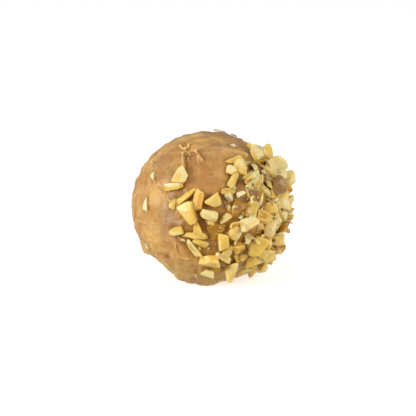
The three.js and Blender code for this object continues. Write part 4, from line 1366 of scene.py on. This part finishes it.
def nut_tree():
    """A block on each point, rounded, tapered, cut across, curled and turned as the point says."""
    tree = ShapeTree(
        "Chopped nut",
        Int=("Points Along", "Points Through"),
        Float=(
            "Squareness", "Outline Wobble", "Curl", "Cut Reach", "Scoop Depth", "Scoop Size",
            "Grain Height", "Grain Size",
        ),
        Vector=("Ball Centre",),
    )
    given = tree.given
    place = tree.place()
    block = tree.term("GeometryNodeMeshCube", "Mesh", {
        "Size": 2.0, "Vertices X": given["Points Along"], "Vertices Y": given["Points Along"],
        "Vertices Z": given["Points Through"],
    })
    block = tree.stored(block, "corner", place, "FLOAT_VECTOR")
    nuts = tree.strewn(given["Geometry"], block)

    # The block's corners are rounded
    corner = tree.vector("corner")
    sides = abs(corner).parts()
    powers = [tree.work_out("POWER", side, given["Squareness"]) for side in sides]
    size = tree.work_out("POWER", powers[0] + powers[1] + powers[2], 1 / given["Squareness"])
    point = corner * (1 / size)

    # Its outline wobbles, its faces are skewed and cut, and each face gets a number of its own
    x, y, z = point.parts()
    phase = tree.number("phase")
    angle = tree.work_out("ARCTAN2", y, x) * OUTLINE_WAVES
    wobble = tree.work_out("SINE", angle + phase) * given["Outline Wobble"] + 1.0
    skew = tree.vector("skew") * tree.joined(y, z, x) + tree.vector("cross_skew") * tree.joined(z, x, y)
    point = point * (skew + 1.0) * tree.joined(wobble, wobble, 1.0)
    face = [tree.work_out("TRUNC", part) for part in (corner * CORNER_GROWTH).parts()]
    draws = {"Vector": tree.joined(*face), "W": phase}
    facet = tree.term("ShaderNodeTexWhiteNoise", "Value", draws, noise_dimensions="4D")
    for number in range(len(DRAW_CUTS)):
        cut = tree.vector(f"cut_{number}")
        beyond = tree.work_out("DOT_PRODUCT", point, cut) - given["Cut Reach"]
        facet = tree.blend(tree.work_out("GREATER_THAN", beyond, 0.0), facet, abs(cut.parts()[0]))
        point = point - cut * tree.work_out("SMOOTH_MAX", beyond, 0.0, CUT_SOFTNESS)

    # Its flat faces curl, and it is laid along its axes
    half = tree.vector("half")
    length = half.parts()[0] * 2.0
    curl = given["Curl"] * tree.number("cup") * length * (CURL_LEVEL - (x * x + y * y))
    local = point * half + tree.joined(0.0, 0.0, curl)
    where = tree.vector("centre")
    for part, axis in zip(local.parts(), ("along", "across", "out")):
        where = where + tree.vector(axis) * part
    smallest = tree.work_out("MINIMUM", tree.work_out("MINIMUM", sides[0], sides[1]), sides[2])
    middle = sides[0] + sides[1] + sides[2] - 1.0 - smallest
    nuts = tree.stored(nuts, "edge", tree.ramp(middle, EDGE_START, 1.0))
    nuts = tree.stored(nuts, "facet", facet)
    nuts = tree.moved(nuts, Position=where)

    # Hollows and grain break its faces
    own = place + tree.number("tone") * TONE_SHIFT
    scoops = {"Vector": own, "Scale": 1 / given["Scoop Size"]}
    scoop = tree.term("ShaderNodeTexVoronoi", "Distance", scoops)
    grain = tree.noise(own, 1 / given["Grain Size"], detail=3, roughness=0.6)
    height = (scoop - NOISE_MEAN) * given["Scoop Depth"] + (grain - NOISE_MEAN) * given["Grain Height"]
    nuts = tree.above_floor(tree.moved(nuts, Offset=tree.normal() * height))
    high = tree.work_out("DISTANCE", place, given["Ball Centre"]) - tree.number("coat")
    nuts = tree.stored(nuts, "sunk", tree.ramp(high, *SUNK_HEIGHTS, 1.0, 0.0))
    nuts = tree.stored(nuts, "rise", tree.ramp(high, *RISE_HEIGHTS))
    return tree.finish(nuts)


def nut_points(name, nuts):
    """One point for each nut, with what its shape and look need."""
    centres = np.array([nut.centre for nut in nuts])
    skews = [draw_vector(nut.item, DRAW_SKEW) * NUT_KINDS[nut.kind]["skew"] for nut in nuts]
    crosses = [draw_vector(nut.item, DRAW_CROSS_SKEW) * NUT_KINDS[nut.kind]["skew"] for nut in nuts]
    for nut, cross in zip(nuts, crosses):
        cross[1] = -nut.narrow
    tones, films, skins = np.array([NUT_LOOKS[nut.look] for nut in nuts]).T
    strays = np.array([draw_between(nut.item, DRAW_TONE, (-TONE_STRAY, TONE_STRAY)) for nut in nuts])
    piece = new_piece(name, centres)
    add_attributes(
        piece,
        centre=(centres + (0, 0, CENTRE_HEIGHT)) * MM,
        half=np.array([nut.size for nut in nuts]) * 0.5 * MM,
        along=[nut.along for nut in nuts],
        across=[nut.across for nut in nuts],
        out=[nut.out for nut in nuts],
        skew=skews,
        cross_skew=crosses,
        cup=[1.0 if nut.item % 2 == 0 else -1.0 for nut in nuts],
        phase=[math.tau * draw(nut.item, DRAW_WOBBLE) for nut in nuts],
        coat=coat_radius(unit(centres)) * MM,
        tone=tones + strays,
        film=films,
        skin=skins,
    )
    for number, purpose in enumerate(DRAW_CUTS):
        add_attributes(piece, **{f"cut_{number}": [unit(draw_vector(nut.item, purpose)) for nut in nuts]})
    return piece


class CHOCOLATE_OT_nuts(bpy.types.Operator):
    """Makes the chopped nuts, one piece for each kind"""

    bl_idname = "chocolate.make_nuts"
    bl_label = "Chopped Nuts"

    def execute(self, context):
        settings = context.scene.chocolate_sphere.nuts
        thick = cut_nut("cut_nut", settings, settings.glow, 0.0)
        thin = cut_nut("thin_nut", settings, settings.thin_glow, THIN_PALER)
        tree = nut_tree()
        for kind, values in NUT_KINDS.items():
            piece = nut_points(f"nut_{kind}s", [nut for nut in NUTS if nut.kind == kind])
            shape(piece, tree, {
                "Material": thin if kind in THIN_KINDS else thick,
                "Points Along": values["points"][0],
                "Points Through": values["points"][1],
                "Squareness": values["square"],
                "Outline Wobble": values["wobble"],
                "Curl": values["curl"],
                "Cut Reach": values["cut"],
                "Scoop Depth": values["scoop"] * MM,
                "Ball Centre": tuple(BALL_CENTRE),
                **values_of(settings, "Scoop Size", "Grain Height", "Grain Size"),
            })
            hand_over(piece)
        return {"FINISHED"}


# Crumbs

def crumb_tree():
    """Small broken bits strewn over the coat, thickest where it says."""
    tree = ShapeTree("Nut crumbs", Float=("Density", "Smallest", "Largest"), Int=("Seed",))
    given = tree.given
    points = tree.term("GeometryNodeDistributePointsOnFaces", "Points", {
        "Mesh": given["Geometry"], "Density": given["Density"] * tree.number("crumbs"),
        "Seed": given["Seed"],
    })
    points = tree.stored(points, "tone", tree.random_number(SEED_TONE))
    for name in ("facet", "rise"):
        points = tree.stored(points, name, CRUMB_MIDDLE)
    share = tree.work_out("POWER", tree.random_number(SEED_SIZE), CRUMB_SMALLNESS)
    size = given["Smallest"] + share * (given["Largest"] - given["Smallest"])
    turn = {"Euler": tree.random_vector(SEED_TURN, CRUMB_TURNS)}
    crumbs = tree.strewn(
        points,
        tree.term("GeometryNodeMeshIcoSphere", "Mesh", {"Radius": 1.0, "Subdivisions": 1}),
        Rotation=tree.term("FunctionNodeEulerToRotation", 0, turn),
        Scale=tree.random_vector(SEED_FORM, CRUMB_FORMS) * size,
    )
    chips = {"Vector": tree.place(), "Scale": 1 / (CHIP_SIZE * MM)}
    chip = tree.term("ShaderNodeTexVoronoi", "Distance", chips)
    crumbs = tree.moved(crumbs, Offset=tree.normal() * ((chip - NOISE_MEAN) * (CHIP_DEPTH * MM)))
    return tree.finish(tree.above_floor(crumbs))


class CHOCOLATE_OT_crumbs(bpy.types.Operator):
    """Strews crumbs of nut between the pieces"""

    bl_idname = "chocolate.make_crumbs"
    bl_label = "Nut Crumbs"

    def execute(self, context):
        settings = context.scene.chocolate_sphere.crumbs
        piece = bpy.data.objects.new("nut_crumbs", bpy.data.objects["chocolate_coat"].data.copy())
        context.scene.collection.objects.link(piece)
        shape(piece, crumb_tree(), {
            "Material": bpy.data.materials["cut_nut"],
            **values_of(settings, "Density", "Smallest", "Largest", "Seed"),
        })
        hand_over(piece)
        return {"FINISHED"}


# Tails

def tail_tree():
    """A round tube along each path, as thick as its points say."""
    tree = ShapeTree("Pulled tail", Int=("Sides",))
    ring = {"Resolution": tree.given["Sides"], "Radius": 1.0}
    return tree.finish(tree.term("GeometryNodeCurveToMesh", "Mesh", {
        "Curve": tree.term("GeometryNodeMeshToCurve", "Curve", {"Mesh": tree.given["Geometry"]}),
        "Profile Curve": tree.term("GeometryNodeCurvePrimitiveCircle", "Curve", ring),
        "Scale": tree.number("thickness"),
        "Fill Caps": True,
    }))


def on_coat(mark, height):
    """The point that far above the finished coat that is seen at a mark."""
    coat = bpy.data.objects["chocolate_coat"]
    seen = mark_point(*mark, coat_radius(unit(mark_point(*mark))) + height)
    outward = Vector(unit(seen))
    is_hit, place = coat.ray_cast(BALL_CENTRE + outward * 2 * BALL_RADIUS * MM, -outward)[:2]
    if not is_hit:
        raise RuntimeError(f"No coat is seen at {mark}")
    return np.array((place - BALL_CENTRE) / MM + outward * height)


def tail_paths():
    """The points, thicknesses and tips of each tail and thread."""
    paths = []
    shares = np.linspace(0, 1, TAIL_STEPS)
    for base, tip, base_height, tip_height, base_thick, waist, knob in TAILS:
        base, tip = np.array(base), np.array(tip)
        heights = base_height + (tip_height - base_height) * shares
        points = [on_coat(base + (tip - base) * share, height) for share, height in zip(shares, heights)]
        stalk = waist + (base_thick - waist) * (1 - shares) ** STALK_TAPER
        swell = (knob - waist) * np.exp(-(((shares - KNOB_AT) / KNOB_REACH) ** 2))
        end = np.sqrt(np.clip(1 - (np.maximum(shares - KNOB_AT, 0) / KNOB_REACH) ** 2, TIP_CLOSED, 1))
        paths.append((points, (stalk + swell) * end / 2, shares ** 2))
    for start, end, bow, thick in COAT_THREADS:
        points = [on_coat(mark, 0.0) for mark in bowed(start, end, bow, TAIL_STEPS)]
        arch = np.sqrt(np.sin(math.pi * np.clip(shares, THREAD_END, 1 - THREAD_END)))
        paths.append((points, thick / 2 * arch, shares * 0))
    return paths


class CHOCOLATE_OT_tails(bpy.types.Operator):
    """Pulls the tails and strings of chocolate out of the coat"""

    bl_idname = "chocolate.make_tails"
    bl_label = "Pulled Tails"

    def execute(self, context):
        settings = context.scene.chocolate_sphere
        context.view_layer.update()
        points, thicknesses, tips = (np.concatenate(values) for values in zip(*tail_paths()))
        last = TAIL_STEPS - 1
        joins = [(step, step + 1) for step in range(len(points)) if step % TAIL_STEPS < last]
        piece = new_piece("chocolate_tails", points, edges=joins)
        add_attributes(piece, thickness=thicknesses * MM, tip=tips)
        shape(piece, tail_tree(), {
            "Material": tail_chocolate(settings.coat, settings.tails),
            "Sides": settings.tails.sides,
        })
        hand_over(piece)
        return {"FINISHED"}


# Stage

def aim(name, data, direction, distance):
    """A light or camera this far from the ball's centre in a direction, turned to face it."""
    item = bpy.data.objects.new(name, data)
    towards = Vector(direction).normalized()
    item.location = BALL_CENTRE + towards * distance
    item.rotation_euler = towards.to_track_quat("Z", "Y").to_euler()
    bpy.context.scene.collection.objects.link(item)
    return item


def soft_light(name, direction, distance, size, strength):
    """A square soft light that faces the ball; strength is what it adds to a surface that faces it."""
    lamp = bpy.data.lights.new(name, "AREA")
    lamp.shape = "SQUARE"
    lamp.size = size
    lamp.energy = strength * (math.pi * distance) ** 2
    aim(name, lamp, direction, distance)


def soft_sky(stage):
    """A pale sky that is brighter and warmer below, where a white table throws light back."""
    world = bpy.data.worlds.new("soft_sky")
    world.use_nodes = True
    glow = world.node_tree.nodes["Background"]
    sketch = Sketch(world.node_tree)
    height = sketch.term("ShaderNodeTexCoord", "Object").parts()[2]
    above = sketch.ramp(height, *SKY_FADE)
    sketch.feed(glow.inputs["Color"], sketch.mix(above, stage.bounce_tint, WHITE))
    sketch.feed(glow.inputs["Strength"], sketch.ramp(height, *SKY_FADE, stage.bounce, stage.sky))
    bpy.context.scene.world = world


def pale_floor(glow):
    """A wide floor that throws no light on the ball, because the sky already does."""
    mesh = bpy.data.meshes.new("floor")
    corners = [(-1, -1, 0), (1, -1, 0), (1, 1, 0), (-1, 1, 0)]
    mesh.from_pydata([Vector(corner) * FLOOR_REACH for corner in corners], [], [(0, 1, 2, 3)])
    mesh.materials.append(Paint("pale_floor").finish({
        "Base Color": FLOOR_GREY,
        "Roughness": 0.9,
        "Specular IOR Level": 0.1,
        "Emission Color": WHITE,
        "Emission Strength": glow,
    }))
    floor = bpy.data.objects.new("floor", mesh)
    floor.visible_diffuse = False
    floor.visible_glossy = False
    bpy.context.scene.collection.objects.link(floor)


class CHOCOLATE_OT_stage(bpy.types.Operator):
    """Sets up the floor, the soft lights and the camera"""

    bl_idname = "chocolate.make_stage"
    bl_label = "Stage"

    def execute(self, context):
        scene = context.scene
        stage = scene.chocolate_sphere.stage
        pale_floor(stage.floor_glow)
        soft_sky(stage)
        soft_light("key_light", *KEY_LIGHT, stage.key)
        soft_light("fill_light", *FILL_LIGHT, stage.fill)
        lens = bpy.data.cameras.new("camera")
        lens.lens = stage.lens
        lens.sensor_width = SENSOR_WIDTH
        lens.clip_start = CLIP_START
        lens.clip_end = CLIP_END
        scene.camera = aim("camera", lens, TOWARD, stage.frame_width * stage.lens / SENSOR_WIDTH)
        scene.view_settings.view_transform = "Standard"
        return {"FINISHED"}


class CHOCOLATE_PT_panel(bpy.types.Panel):
    """Lists the pieces of the hot chocolate sphere"""

    bl_label = "Hot Chocolate Sphere"
    bl_space_type = "VIEW_3D"
    bl_region_type = "UI"
    bl_category = "Chocolate"

    def draw(self, context):
        for operator in OPERATORS:
            self.layout.operator(operator.bl_idname)


GROUPS = (CoatSettings, NutSettings, CrumbSettings, TailSettings, StageSettings, SphereSettings)
OPERATORS = (
    CHOCOLATE_OT_coat, CHOCOLATE_OT_nuts, CHOCOLATE_OT_crumbs, CHOCOLATE_OT_tails, CHOCOLATE_OT_stage,
)
CLASSES = (*GROUPS, *OPERATORS, CHOCOLATE_PT_panel)


def register():
    for item in CLASSES:
        bpy.utils.register_class(item)
    bpy.types.Scene.chocolate_sphere = bpy.props.PointerProperty(type=SphereSettings)


def unregister():
    del bpy.types.Scene.chocolate_sphere
    for item in reversed(CLASSES):
        bpy.utils.unregister_class(item)


def main():
    register()
    bpy.ops.chocolate.make_stage()
    bpy.ops.chocolate.make_coat()
    bpy.ops.chocolate.make_nuts()
    bpy.ops.chocolate.make_crumbs()
    bpy.ops.chocolate.make_tails()


if __name__ == "__main__":
    main()
